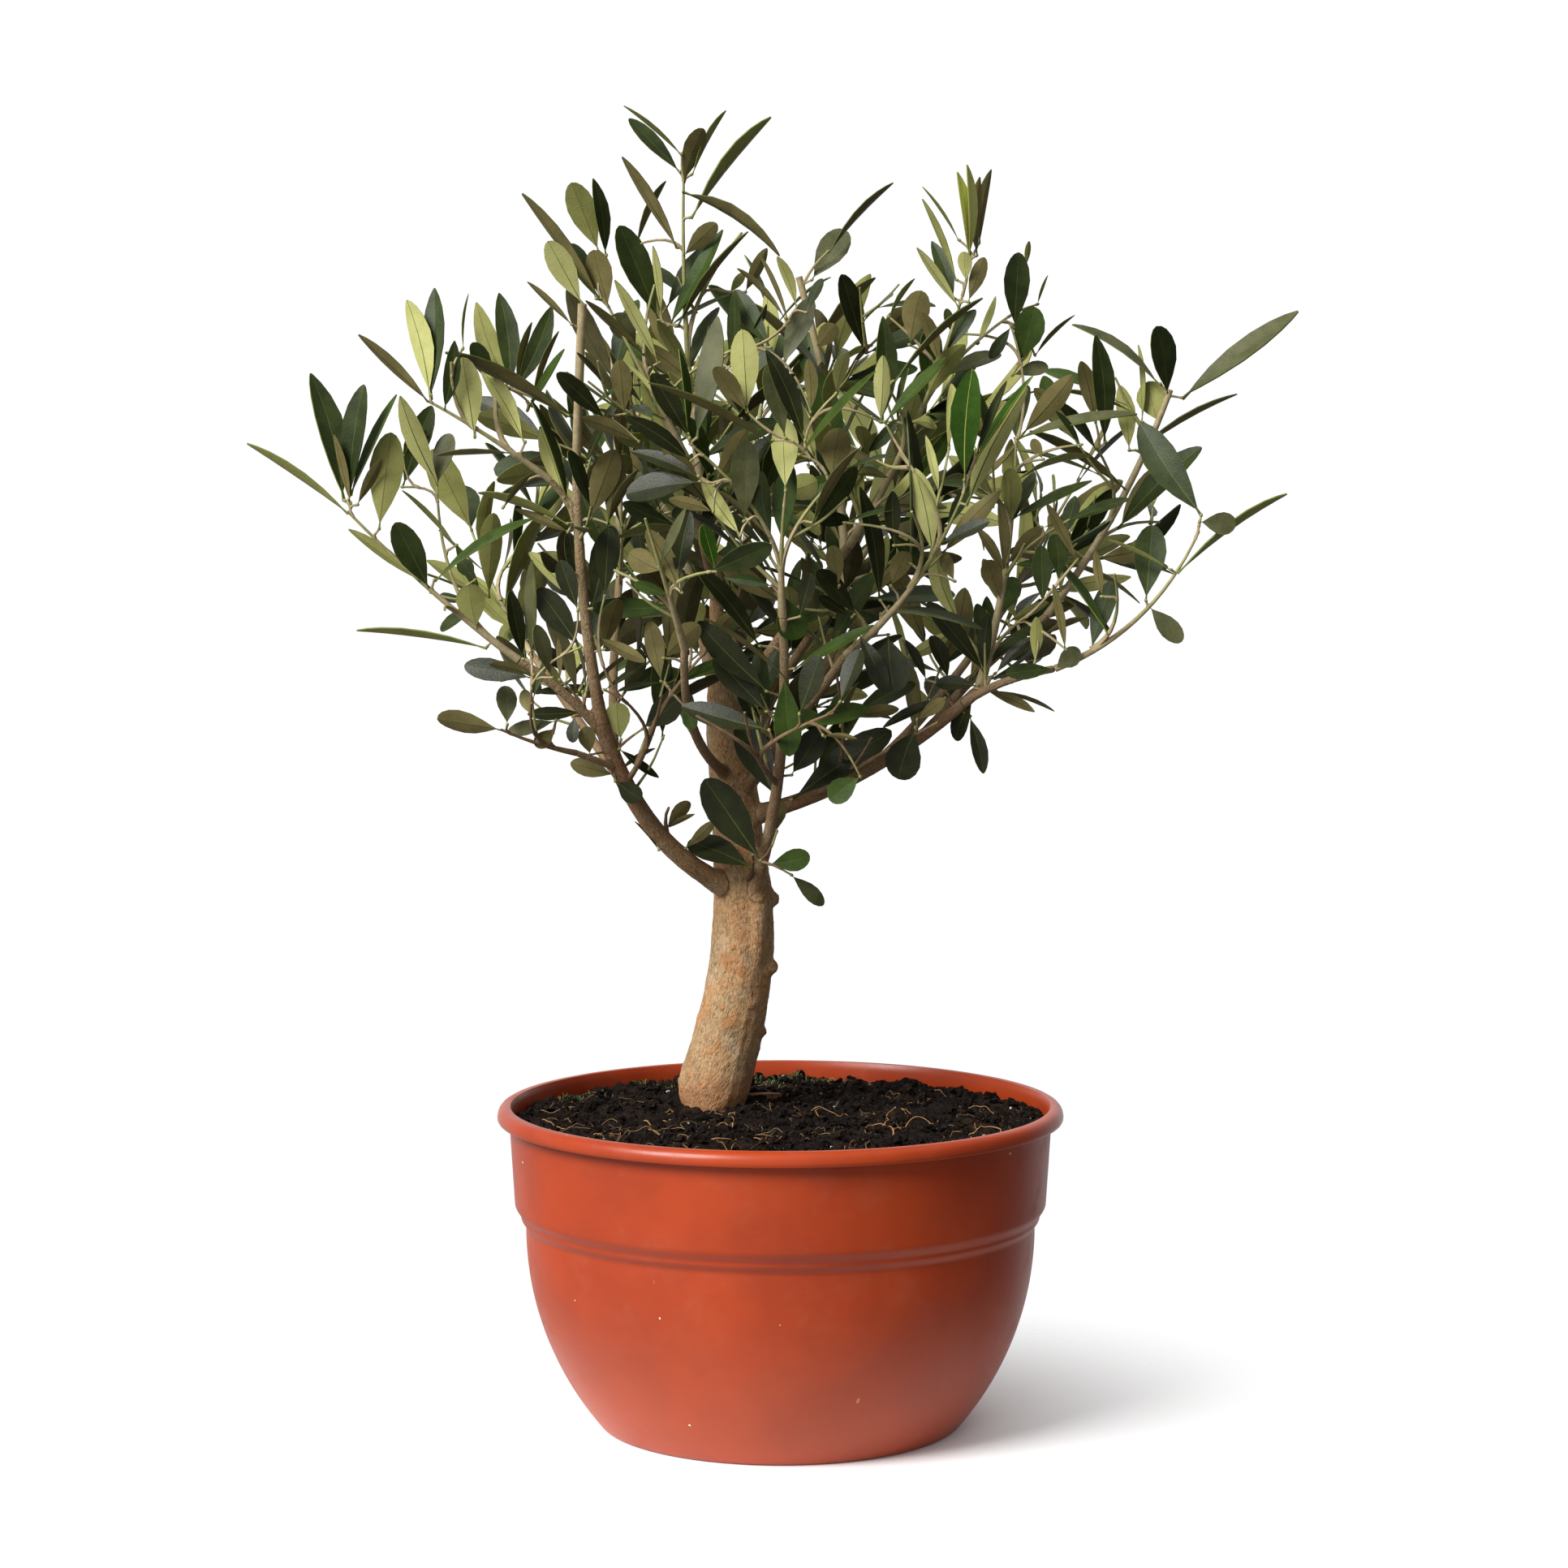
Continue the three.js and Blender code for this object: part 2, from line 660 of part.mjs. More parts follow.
// The nodes along a line, an even distance apart, each with a bearing a quarter turn from the last.
function nodesOf(line, start, first) {
  const lengths = lengthsOf(line);
  const total = lengths[lengths.length - 1];
  const count = Math.max(0, Math.floor((total - start - 5) / rule.internode) + 1);
  const nodes = Array.from({ length: count }, (_, k) => {
    const distance = start + k * rule.internode;
    const bearing = first + rule.pairTurn * k;
    return { ...along(line, lengths, distance), share: distance / total, bearing };
  });
  const last = { ...along(line, lengths, total - 2), share: 1, bearing: first + rule.pairTurn * count };
  return [...nodes, last];
}

// Grows every spray: first the side twigs, then a pair of leaves at every node. A twig or a leaf is skipped
// where it would leave the spray's own space, which is all that lies nearer to its shoots than to any
// other's, or where it would touch a limb or another leaf.
function growSprays(limbs) {
  const shoots = {};
  Object.entries(sprays).forEach(([name, spray]) => {
    shoots[name] = shootsOf(spray, limbs);
  });
  const nearest = (lines, point) => Math.min(...lines.map((line) => distanceTo(line, point)));
  const isClear = (name, point, margin) => {
    const own = nearest(shoots[name], point) + 2 * margin;
    const others = Object.keys(shoots).filter((other) => other !== name);
    if (others.some((other) => nearest(shoots[other], point) < own)) return false;
    if (point.z <= rule.lowestLeaf) return false;
    return Object.values(limbs).every((limb) => distanceTo(limb, point) > margin);
  };
  return Object.entries(sprays).map(([name, spray]) => {
    const random = seeded(spray.seed * 7919);
    const lines = shoots[name].map((line, i) => {
      return { line, start: i ? rule.internode : rule.bareStart, first: 360 * random() };
    });
    shoots[name].forEach((line, i) => {
      nodesOf(line, lines[i].start, lines[i].first).slice(0, -1).forEach((node, k) => {
        const draw = [random(), random(), random()];
        if (k % rule.twigEvery) return;
        const spread = rule.twigSpread * (0.8 + 0.5 * draw[1]);
        const way = turned(node.heading, node.bearing + (draw[0] < 0.5 ? 0 : 180), spread);
        const length = rule.twigLength * (1.1 - 0.6 * node.share) * (0.7 + 0.6 * draw[2]);
        const middle = vector(node.point).addScaledVector(way, 0.5 * length);
        const tip = middle.clone().addScaledVector(way.clone().add(lift).normalize(), 0.5 * length);
        const places = [middle, middle.clone().lerp(tip, 0.5), tip];
        if (!places.every((place) => isClear(name, place, twigMargin))) return;
        const neck = vector(node.point).addScaledVector(way, rule.neck);
        const twig = tapered([neck, middle, tip].map((p) => p.toArray()), rule.twigRadius, rule.tipRadius);
        const line = [[...node.point, rule.neckRadius], ...twig];
        lines.push({ line, start: 0.5 * length, first: node.bearing });
      });
    });
    const stretchesOf = (line) => line.slice(1).map((p, i) => [vector(line[i]), vector(p)]);
    const wood = [...Object.values(limbs), ...lines.map(({ line }) => line)].flatMap(stretchesOf);
    const leaves = [];
    lines.forEach(({ line, start, first }) => {
      nodesOf(line, start, first).forEach(({ point, heading, share, bearing }) => {
        [0, 180].forEach((side) => {
          const draw = [random() - 0.5, random() - 0.5, random() - 0.5, random()];
          const spread = rule.leafSpread + (rule.leafSpreadTip - rule.leafSpread) * share;
          const length = spray.leaf * (0.76 + 0.44 * draw[3]);
          rule.tries.some(([spreads, sizes]) => {
            const angle = (spread + 2 * rule.leafJitter * draw[1]) * spreads;
            const way = turned(heading, bearing + side + 2 * rule.leafJitter * draw[0], angle);
            const face = heading.clone().projectOnPlane(way).normalize();
            face.applyAxisAngle(way, radians(rule.leafRoll * draw[2]));
            const leaf = { root: point, heading: way, face, length: length * sizes };
            const corners = leafCorners(leaf, leafTestedFrom);
            if (!leafPlaces(leaf).every((place) => isClear(name, place, leafMargin))) return false;
            if (wood.some(([a, b]) => pierces(a, b, corners))) return false;
            if (leaves.some((other) => cross(corners, leafCorners(other, leafTestedFrom)))) return false;
            leaves.push(leaf);
            return true;
          });
        });
      });
    });
    return { name, lines: lines.map(({ line }) => line), leaves };
  });
}

const surface = (color, roughness) => {
  return new THREE.MeshStandardMaterial({ color, roughness, metalness: 0 });
};
const finish = {
  pot: surface(colours.pot, 0.5),
  soil: surface(colours.soil, 1),
  bark: surface(colours.bark, 0.85),
  leaf: surface(colours.leaf, 0.55),
};

const tree = new THREE.Group();

function addPiece(name, solid, material) {
  const mesh = new THREE.Mesh(geometryFrom(solid), material);
  mesh.name = name;
  tree.add(mesh);
}

const limbs = { trunk: rounded(trunkStations) };
addPiece("pot", potSolid(), finish.pot);
addPiece("soil", largest(soilSolid(trunkSolid(limbs.trunk, gap + 0.1))), finish.soil);
addPiece("trunk", trunkSolid(limbs.trunk), finish.bark);

// Each bough is cut back from the limbs before it, so that it meets what carries it with a small gap.
const swollen = [trunkSolid(limbs.trunk, gap)];
Object.entries(boughs).forEach(([name, { on, at, tip, bow, girth }]) => {
  const limb = tapered(bowed(pointAt(limbs[on], at), tip, bow, boughStep), girth[0], girth[1]);
  const cut = swollen.reduce((solid, other) => solid.subtract(other), limbSolid(limb, boughFacets));
  addPiece(name, largest(cut), finish.bark);
  limbs[name] = limb;
  swollen.push(limbSolid(limb, boughFacets, gap));
});

growSprays(limbs).forEach(({ name, lines, leaves }) => {
  const shoots = lines.map((line) => limbSolid(line, 3));
  const grown = [...shoots, ...leaves.map(leafSolid)].reduce((solid, piece) => solid.add(piece));
  addPiece(name, largest(swollen.reduce((solid, other) => solid.subtract(other), grown)), finish.leaf);
});

export default tree;
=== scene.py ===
import math

import bmesh
import bpy
import numpy as np
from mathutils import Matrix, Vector
from mathutils.bvhtree import BVHTree


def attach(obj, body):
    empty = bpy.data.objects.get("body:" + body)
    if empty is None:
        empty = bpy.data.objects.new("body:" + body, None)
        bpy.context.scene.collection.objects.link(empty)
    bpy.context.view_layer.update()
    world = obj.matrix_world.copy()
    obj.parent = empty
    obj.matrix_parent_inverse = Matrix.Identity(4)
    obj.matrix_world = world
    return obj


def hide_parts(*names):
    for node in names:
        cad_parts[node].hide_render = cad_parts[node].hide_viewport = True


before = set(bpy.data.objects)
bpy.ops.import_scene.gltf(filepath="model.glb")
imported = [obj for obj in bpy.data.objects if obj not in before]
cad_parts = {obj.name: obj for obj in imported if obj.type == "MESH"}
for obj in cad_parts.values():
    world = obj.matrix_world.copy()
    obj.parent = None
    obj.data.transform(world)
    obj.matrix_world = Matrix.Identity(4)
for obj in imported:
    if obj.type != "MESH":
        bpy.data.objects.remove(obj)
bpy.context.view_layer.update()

mm = 0.001


def report(stage):
    print("olive tree:", stage)


def tableOf(fields, table):  # each row of a table as a dictionary of the fields that it fills
    return {name: dict(zip(fields, row)) for name, row in table.items()}


def between(ends, share):
    return ends[0] + (ends[1] - ends[0]) * share


def dealt(deal, draw):  # a deal is a least value and how much a draw from 0 to 1 adds
    return deal[0] + deal[1] * draw


# Shader and geometry nodes

class Wire:  # a socket that takes part in sums
    def __init__(self, kit, socket):
        self.kit = kit
        self.socket = socket

    def maths(self, operation, *terms):
        return self.kit.add("ShaderNodeMath", {"operation": operation}, dict(enumerate(terms)))

    def __add__(self, other):
        return self.maths("ADD", self, other)

    def __sub__(self, other):
        return self.maths("SUBTRACT", self, other)

    def __rsub__(self, other):
        return self.maths("SUBTRACT", other, self)

    def __mul__(self, other):
        return self.maths("MULTIPLY", self, other)

    __radd__, __rmul__ = __add__, __mul__


class NodeKit:  # makes the nodes of one tree
    def __init__(self, tree):
        self.tree = tree

    def add(self, kind, settings=None, sockets=None, out=0):
        node = self.tree.nodes.new(kind)
        for name, value in (settings or {}).items():
            setattr(node, name, value)
        for name, value in (sockets or {}).items():
            if isinstance(value, Wire):
                self.tree.links.new(value.socket, node.inputs[name])
            else:
                node.inputs[name].default_value = value
        return Wire(self, node.outputs[out]) if node.outputs else node

    def noise(self, place, scale, detail=3.0, rough=0.5):
        sockets = {"Vector": place, "Scale": scale, "Detail": detail, "Roughness": rough}
        return self.add("ShaderNodeTexNoise", {}, sockets)

    def cells(self, place, scale, out="Distance"):
        return self.add("ShaderNodeTexVoronoi", {}, {"Vector": place, "Scale": scale}, out)

    def stretched(self, place, rise):  # less than 1 draws a pattern out along the third axis
        return self.add("ShaderNodeVectorMath", {"operation": "MULTIPLY"}, {0: place, 1: (1, 1, rise)})

    def mask(self, value, low, high):  # 0 at low, 1 at high, soft between
        sockets = {"Value": value, "From Min": low, "From Max": high}
        return self.add("ShaderNodeMapRange", {"interpolation_type": "SMOOTHSTEP"}, sockets)

    def layered(self, base, *layers):  # a colour with others laid over it, each by its share
        base = paint(*base)
        for share, colour in layers:
            sockets = {0: share, 6: base, 7: paint(*colour)}
            base = self.add("ShaderNodeMix", {"data_type": "RGBA"}, sockets, 2)
        return base

    def part(self, vector, axis):
        return self.add("ShaderNodeSeparateXYZ", {}, {"Vector": vector}, axis)

    def bump(self, height, strength, distance):
        sockets = {"Strength": strength, "Distance": distance, "Height": height}
        return self.add("ShaderNodeBump", {}, sockets)


def paint(red, green, blue):  # a colour as it is seen, 0 to 255, for a shader
    def linear(value):
        return ((value / 255 + 0.055) / 1.055) ** 2.4 if value > 10 else value / 3294.6
    return (linear(red), linear(green), linear(blue), 1.0)


def newFinish(name, describe):
    material = bpy.data.materials.new(name)
    material.use_nodes = True
    material.node_tree.nodes.clear()
    kit = NodeKit(material.node_tree)
    place = kit.add("ShaderNodeTexCoord", out="Object")
    shader = kit.add("ShaderNodeBsdfPrincipled", {}, describe(kit, place))
    kit.add("ShaderNodeOutputMaterial", {}, {"Surface": shader})
    return material


def mottledFinish(name, first, second, scale, rough=0.7):  # a finish of two close tones
    def describe(kit, place):
        tone = kit.noise(place, scale, 4, 0.6)
        return {
            "Base Color": kit.layered(first, (kit.mask(tone, 0.35, 0.65), second)),
            "Roughness": rough + 0.1 * tone, "Normal": kit.bump(tone, 0.4, 0.0004),
        }
    return newFinish(name, describe)


# Modelling

def objectMode():
    if bpy.context.object and bpy.context.object.mode == "EDIT":
        bpy.ops.object.mode_set(mode="OBJECT")


def selectNone():
    objectMode()
    bpy.ops.object.select_all(action="DESELECT")


def begin(operator, name, **shape):  # a primitive, alone selected, in edit mode
    selectNone()
    operator(**shape)
    piece = bpy.context.object
    piece.name = name
    bpy.ops.object.transform_apply()
    bpy.ops.object.mode_set(mode="EDIT")
    return piece


def drawnUp(name, segments, rings):  # a round shape, extruded through rings of radius and height
    radius, height = rings[0]
    piece = begin(
        bpy.ops.mesh.primitive_circle_add, name,
        vertices=segments, radius=radius * mm, fill_type="NGON", location=(0, 0, height * mm),
    )
    for newRadius, newHeight in rings[1:]:
        rise = (0, 0, (newHeight - height) * mm)
        bpy.ops.mesh.extrude_region_move(TRANSFORM_OT_translate={"value": rise})
        share = newRadius / radius
        bpy.ops.transform.resize(value=(share, share, 1), center_override=(0, 0, newHeight * mm))
        radius, height = newRadius, newHeight
    bpy.ops.mesh.select_all(action="SELECT")
    bpy.ops.mesh.normals_make_consistent(inside=False)
    return piece


def pick(test, mode="VERT"):  # selects only the corners or faces that pass the test
    bpy.ops.mesh.select_mode(type=mode)
    bpy.ops.mesh.select_all(action="DESELECT")
    mesh = bmesh.from_edit_mesh(bpy.context.object.data)
    for item in mesh.verts if mode == "VERT" else mesh.faces:
        if test(item):
            item.select_set(True)
    bmesh.update_edit_mesh(bpy.context.object.data)


def finishPiece(piece, finishes, smoothUnder=40):  # back to object mode, its materials and its shading
    selectNone()
    piece.select_set(True)
    bpy.context.view_layer.objects.active = piece
    piece.data.materials.clear()
    for finish in finishes:
        piece.data.materials.append(finish)
    bpy.ops.object.shade_smooth_by_angle(angle=math.radians(smoothUnder))
    return piece


def applied(piece, kind, **settings):  # a modifier, added and applied
    modifier = piece.modifiers.new(kind.lower(), kind)
    for name, value in settings.items():
        setattr(modifier, name, value)
    bpy.context.view_layer.objects.active = piece
    bpy.ops.object.modifier_apply(modifier=modifier.name)


def dressed(piece, slot, *nodes):  # the piece stands for the nodes
    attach(piece, "root")
    if nodes:
        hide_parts(*nodes)


def displaced(piece, name, heightOf):  # moves a piece's corners along their normals by a sum of nodes
    tree = bpy.data.node_groups.new(name, "GeometryNodeTree")
    for side in ("INPUT", "OUTPUT"):
        tree.interface.new_socket("Geometry", in_out=side, socket_type="NodeSocketGeometry")
    kit = NodeKit(tree)
    given = kit.add("NodeGroupInput")
    normal = kit.add("GeometryNodeInputNormal")
    way = kit.add("ShaderNodeVectorMath", {"operation": "SCALE"}, {0: normal, "Scale": heightOf(kit)})
    moved = kit.add("GeometryNodeSetPosition", {}, {"Geometry": given, "Offset": way})
    kit.add("NodeGroupOutput", {}, {"Geometry": moved})
    applied(piece, "NODES", node_group=tree)


def cornersOf(piece):
    return np.array([tuple(corner.co) for corner in piece.data.vertices])


# Many small things: copies of a modelled shape, or tubes along lines, joined into one mesh

oddWay = (0.31, 0.23, 0.92)  # a direction that none of the lines has


class Bundle:
    def __init__(self):
        self.corners = []
        self.faces = []
        self.finishes = []
        self.count = 0

    def add(self, corners, faces, finishes):  # one finish, or one for each face
        self.corners.append(corners)
        self.faces.extend([[index + self.count for index in face] for face in faces])
        self.finishes.extend(finishes if isinstance(finishes, list) else [finishes] * len(faces))
        self.count += len(corners)

    def piece(self, name, finishes, smoothUnder):
        mesh = bpy.data.meshes.new(name)
        mesh.from_pydata(np.concatenate(self.corners).tolist(), [], self.faces)
        made = bpy.data.objects.new(name, mesh)
        bpy.context.scene.collection.objects.link(made)
        finishPiece(made, finishes, smoothUnder)
        mesh.polygons.foreach_set("material_index", self.finishes)
        return made


def shapeOf(piece):  # a modelled shape as arrays, to be copied; the shape itself is removed
    objectMode()
    corners = cornersOf(piece)
    faces = [list(face.vertices) for face in piece.data.polygons]
    zones = [face.material_index for face in piece.data.polygons]
    bpy.data.objects.remove(piece)
    return corners, faces, zones


def tube(line, sides):  # rings round a line of x, y, z and radius in mm, closed at both ends
    line = np.asarray(line, float)
    ways = np.gradient(line[:, :3], axis=0)
    ways /= np.linalg.norm(ways, axis=1)[:, None]
    across = np.cross(oddWay, ways[0])
    turns = 2 * math.pi * np.arange(sides) / sides
    rings = []
    for centre, way in zip(line, ways):
        across = across - np.dot(across, way) * way
        across /= np.linalg.norm(across)
        spokes = np.outer(np.cos(turns), across) + np.outer(np.sin(turns), np.cross(way, across))
        rings.append(centre[:3] + centre[3] * spokes)
    faces = [list(range(sides))[::-1]]
    for low in range(0, (len(line) - 1) * sides, sides):
        for side in range(sides):
            after = (side + 1) % sides
            faces.append([low + side, low + after, low + sides + after, low + sides + side])
    faces.append([(len(line) - 1) * sides + side for side in range(sides)])
    return np.concatenate(rings) * mm, faces


# Lines, as the rule of growth reads them: rows of x, y, z and radius

def seeded(seed):  # draws from 0 to 1
    state, below = seed, 2 ** 32

    def draw():
        nonlocal state
        state = (state * 1664525 + 1013904223) % below
        return state / below
    return draw


def unit(vector):
    return vector / np.linalg.norm(vector)


def flattened(vector, normal):  # the part of a vector that lies square to a normal
    return vector - np.dot(vector, normal) * normal


def spun(vector, axis, degrees):
    turn = math.radians(degrees)
    along = np.dot(axis, vector) * axis
    return along + (vector - along) * math.cos(turn) + np.cross(axis, vector) * math.sin(turn)


def rounded(line):  # the corners cut off, the ends kept
    line = np.asarray(line, float)
    near = 0.75 * line[:-1] + 0.25 * line[1:]
    far = 0.25 * line[:-1] + 0.75 * line[1:]
    return np.vstack([line[:1], np.stack([near, far], 1).reshape(-1, line.shape[1]), line[-1:]])


def lengthsOf(line):
    return np.concatenate([[0], np.cumsum(np.linalg.norm(np.diff(line[:, :3], axis=0), axis=1))])


def along(line, distance):  # the row at a distance along a line, and the heading there
    lengths = lengthsOf(line)
    index = min(max(int(np.searchsorted(lengths, distance)) - 1, 0), len(line) - 2)
    share = (distance - lengths[index]) / (lengths[index + 1] - lengths[index])
    return line[index] + share * (line[index + 1] - line[index]), unit((line[index + 1] - line[index])[:3])


def curved(start, control, tip, step):
    start, control, tip = (np.asarray(point, float)[:3] for point in (start, control, tip))
    count = max(2, int(np.linalg.norm(tip - start) / step + 0.5))
    share = np.linspace(0, 1, count + 1)[:, None]
    return (1 - share) ** 2 * start + 2 * share * (1 - share) * control + share ** 2 * tip


def bowed(start, tip, bow, step):
    start = np.asarray(start, float)[:3]
    return curved(start, (start + np.asarray(tip)) / 2 + 2 * np.asarray(bow), tip, step)


def tapered(points, first, last):
    return np.column_stack([np.asarray(points)[:, :3], np.linspace(first, last, len(points))])


def turned(heading, bearing, spread):  # a heading turned away from a line's own
    up = np.array((0.0, 0.0, 1.0) if abs(heading[2]) < 0.9 else (1.0, 0.0, 0.0))
    out = spun(unit(flattened(up, heading)), heading, bearing)
    return heading * math.cos(math.radians(spread)) + out * math.sin(math.radians(spread))


class Space:  # the stretches of some lines, for distances from their surface
    def __init__(self, lines):
        self.start = np.concatenate([line[:-1] for line in lines])
        self.end = np.concatenate([line[1:] for line in lines])
        self.way = (self.end - self.start)[:, :3]
        self.squares = (self.way ** 2).sum(1)

    def distances(self, points):
        away = points[:, None, :] - self.start[None, :, :3]
        share = np.clip((away * self.way).sum(2) / self.squares, 0, 1)
        radius = self.start[:, 3] + share * (self.end[:, 3] - self.start[:, 3])
        return np.linalg.norm(away - share[..., None] * self.way, axis=2) - radius


# The camera, the floor and the light

view = {"place": (1.7, -1727, 443), "down": 4.52, "lens": 83.77, "sensor": 36, "farthest": 100000}


def makeCamera():
    camera = bpy.data.objects.new("viewer", bpy.data.cameras.new("viewer"))
    camera.data.lens = view["lens"]
    camera.data.sensor_width = view["sensor"]
    camera.data.clip_end = view["farthest"] * mm
    camera.location = Vector(view["place"]) * mm
    camera.rotation_euler = (math.radians(90 - view["down"]), 0, 0)
    bpy.context.scene.collection.objects.link(camera)
    bpy.context.scene.camera = camera


studio = {  # each light is so far away that it falls evenly; "width" is how wide it looks, in degrees
    "floorRadius": 330, "floorSides": 96, "solidTo": 60, "goneAt": 300,
    "background": 1.02, "ambient": 0.12, "behind": 0.8, "left": 0.5,  # how bright the room is
    "behindFrom": (0.45, 0.95), "leftWay": (-0.85, -0.5), "leftFrom": (0.1, 0.95),
    "key": {"place": (-1450, -1300, 1530), "width": 30, "power": 5.0},
    "top": {"place": (100, -150, 1600), "width": 90, "power": 0.8},
    "front": {"place": (300, -2000, 600), "width": 60, "power": 0.25},
}


def makeLight(name, place, width, power):
    lamp = bpy.data.lights.new(name, "SUN")
    lamp.angle = math.radians(width)
    lamp.energy = power
    light = bpy.data.objects.new(name, lamp)
    light.location = Vector(place) * mm
    light.rotation_mode = "QUATERNION"
    light.rotation_quaternion = (-light.location).to_track_quat("-Z", "Y")
    bpy.context.scene.collection.objects.link(light)


def floorFinish(kit, place):  # white paper that fades out into the white behind it
    away = kit.add("ShaderNodeVectorMath", {"operation": "LENGTH"}, {0: place}, "Value")
    return {
        "Base Color": kit.layered((247, 247, 247), (kit.noise(place, 3.0), (250, 250, 250))),
        "Alpha": 1 - kit.mask(away, studio["solidTo"] * mm, studio["goneAt"] * mm),
        "Roughness": 0.9, "Specular IOR Level": 0.1,
    }


def makeStudio():
    bpy.context.scene.view_settings.view_transform = "Standard"
    world = bpy.data.worlds.new("studio")
    world.use_nodes = True
    world.node_tree.nodes.clear()
    kit = NodeKit(world.node_tree)
    seen = kit.add("ShaderNodeLightPath", out="Is Camera Ray")
    way = kit.add("ShaderNodeTexCoord", out="Generated")
    x, y = kit.part(way, 0), kit.part(way, 1)
    left = x * studio["leftWay"][0] + y * studio["leftWay"][1]
    level = kit.mask(y, *studio["behindFrom"]) * studio["behind"] + studio["ambient"]
    level = level + kit.mask(left, *studio["leftFrom"]) * studio["left"]
    level = level + seen * (studio["background"] - level)
    sky = kit.add("ShaderNodeBackground", {}, {"Color": (1, 1, 1, 1), "Strength": level})
    kit.add("ShaderNodeOutputWorld", {}, {"Surface": sky})
    bpy.context.scene.world = world
    for name in ("key", "top", "front"):
        makeLight(name, **studio[name])
    floor = begin(
        bpy.ops.mesh.primitive_circle_add, "floor",
        vertices=studio["floorSides"], radius=studio["floorRadius"] * mm, fill_type="NGON",
    )
    finishPiece(floor, [newFinish("paleFloor", floorFinish)])


makeCamera()
makeStudio()
report("camera, floor and light")


# The pot: a thin moulded shell, drawn up ring by ring from its foot, over the lip and down inside

pot = {
    "height": 154, "lipRadius": 135, "lipDepth": 7.4, "bandTopRadius": 129.3, "bandFootRadius": 127,
    "bandFoot": 109, "bowlTop": 95, "bowlTopRadius": 121.6, "bowlArc": 145, "wall": 1.8, "floor": 2.6,
    "steps": [(96.2, 121.6), (97.2, 121.9), (99.4, 123.5), (100.2, 123.9), (101.6, 124.0), (102.3, 124.3),
              (105.4, 126.3), (106.6, 126.8), (109, 127)],  # two small steps: height and radius
    "foot": [(-1.4, 0), (-0.5, 0.3)],  # rings, from the wall's radius and from the floor
    "bowlRings": (4, 90, 23), "bandRings": (118, 6), "insideRings": (112, 8, 109, 18),
    "stepRings": (93, 95.4, 96.2, 96.7, 97.2, 97.9, 98.7, 99.4, 99.8, 100.2, 100.9, 101.6, 101.9, 102.3,
                  103.2, 104.3, 105.4, 106, 106.6, 107.6, 109, 113),
    "lip": [  # rings, from the band's or the lip's radius and from the lip's underside or top
        ("band", "under", [(0.2, -0.3), (1.4, 0)]),
        ("lip", "under", [(-1.2, 0.1), (-0.5, 0.4), (-0.1, 1.1), (0, 2.2), (-0.3, 3.8), (-0.8, 5.1)]),
        ("lip", "top", [(-1.7, -1.2), (-2.9, -0.5), (-4.6, -0.1), (-6.2, -0.4)]),
        ("band", "top", [(-1.1, -1.7), (-1.7, -4)]),
    ],
    "segments": 160,
}


def potRadius(z):  # the outer wall's radius at a height
    if z > pot["bandFoot"]:
        rise = (z - pot["bandFoot"]) / (pot["height"] - pot["lipDepth"] - pot["bandFoot"])
        return pot["bandFootRadius"] + rise * (pot["bandTopRadius"] - pot["bandFootRadius"])
    if z > pot["steps"][0][0]:
        return float(np.interp(z, *np.transpose(pot["steps"])))
    bowl = pot["bowlTopRadius"] - pot["bowlArc"]
    return bowl + math.sqrt(pot["bowlArc"] ** 2 - max(0, pot["bowlTop"] - z) ** 2)


def potProfile():  # rings of radius and height
    starts = {"band": pot["bandTopRadius"], "lip": pot["lipRadius"]}
    levels = {"under": pot["height"] - pot["lipDepth"], "top": pot["height"]}
    bandStart, bandCount = pot["bandRings"]
    bandFoot, upperCount, bowlTop, lowerCount = pot["insideRings"]
    heights = [1.3, *np.linspace(*pot["bowlRings"]), *pot["stepRings"]]
    heights += [*np.linspace(bandStart, levels["under"] - 1, bandCount)]
    rings = [(potRadius(0) + out, up) for out, up in pot["foot"]]
    rings += [(potRadius(z), z) for z in heights]
    for start, level, steps in pot["lip"]:
        rings += [(starts[start] + out, levels[level] + up) for out, up in steps]
    heights = [*np.linspace(levels["under"] - 1, bandFoot, upperCount)]
    heights += [*np.linspace(bowlTop, pot["floor"] + 3, lowerCount)]
    rings += [(potRadius(z) - pot["wall"], z) for z in heights]
    return [*rings, (potRadius(0) - pot["wall"] - 2, pot["floor"])]


def potFinish(kit, place):  # matt clay-coloured plastic with dried dust, scuffs and white specks
    height = kit.part(place, 2)
    cloud = kit.noise(place, 16, 4, 0.6)
    haze = kit.mask(kit.noise(place, 40, 6, 0.68), 0.48, 0.8) * 0.35
    low = 1 - kit.mask(height, 0.0, 0.1)
    scuff = kit.noise(kit.stretched(place, 0.35), 190, 2, 0.6)
    scuff = kit.mask(scuff, 0.74, 0.78) * kit.mask(kit.noise(place, 22), 0.5, 0.6)
    sparse = kit.mask(kit.part(kit.cells(place, 75, "Color"), 0), 0.86, 0.88)
    specks = (1 - kit.mask(kit.cells(place, 75), 0.03, 0.055)) * sparse
    base = kit.layered(
        (166, 59, 20),
        (kit.mask(cloud, 0.3, 0.7), (150, 52, 20)),
        (haze * 0.4 + low * 0.16, (172, 104, 76)),
        (scuff * 0.45, (214, 170, 148)),
        (specks, (228, 216, 206)),
    )
    lip = kit.mask(height, 0.1445, 0.147)
    grain = kit.noise(place, 700, 3, 0.6)
    relief = kit.noise(place, 30, 2) * 0.5 + grain * 0.05 + specks * 0.4
    return {
        "Base Color": base, "Roughness": 0.4 + haze * 0.5 + 0.06 * grain - lip * 0.1,
        "Normal": kit.bump(relief, 0.25, 0.002), "Specular IOR Level": 0.35,
    }


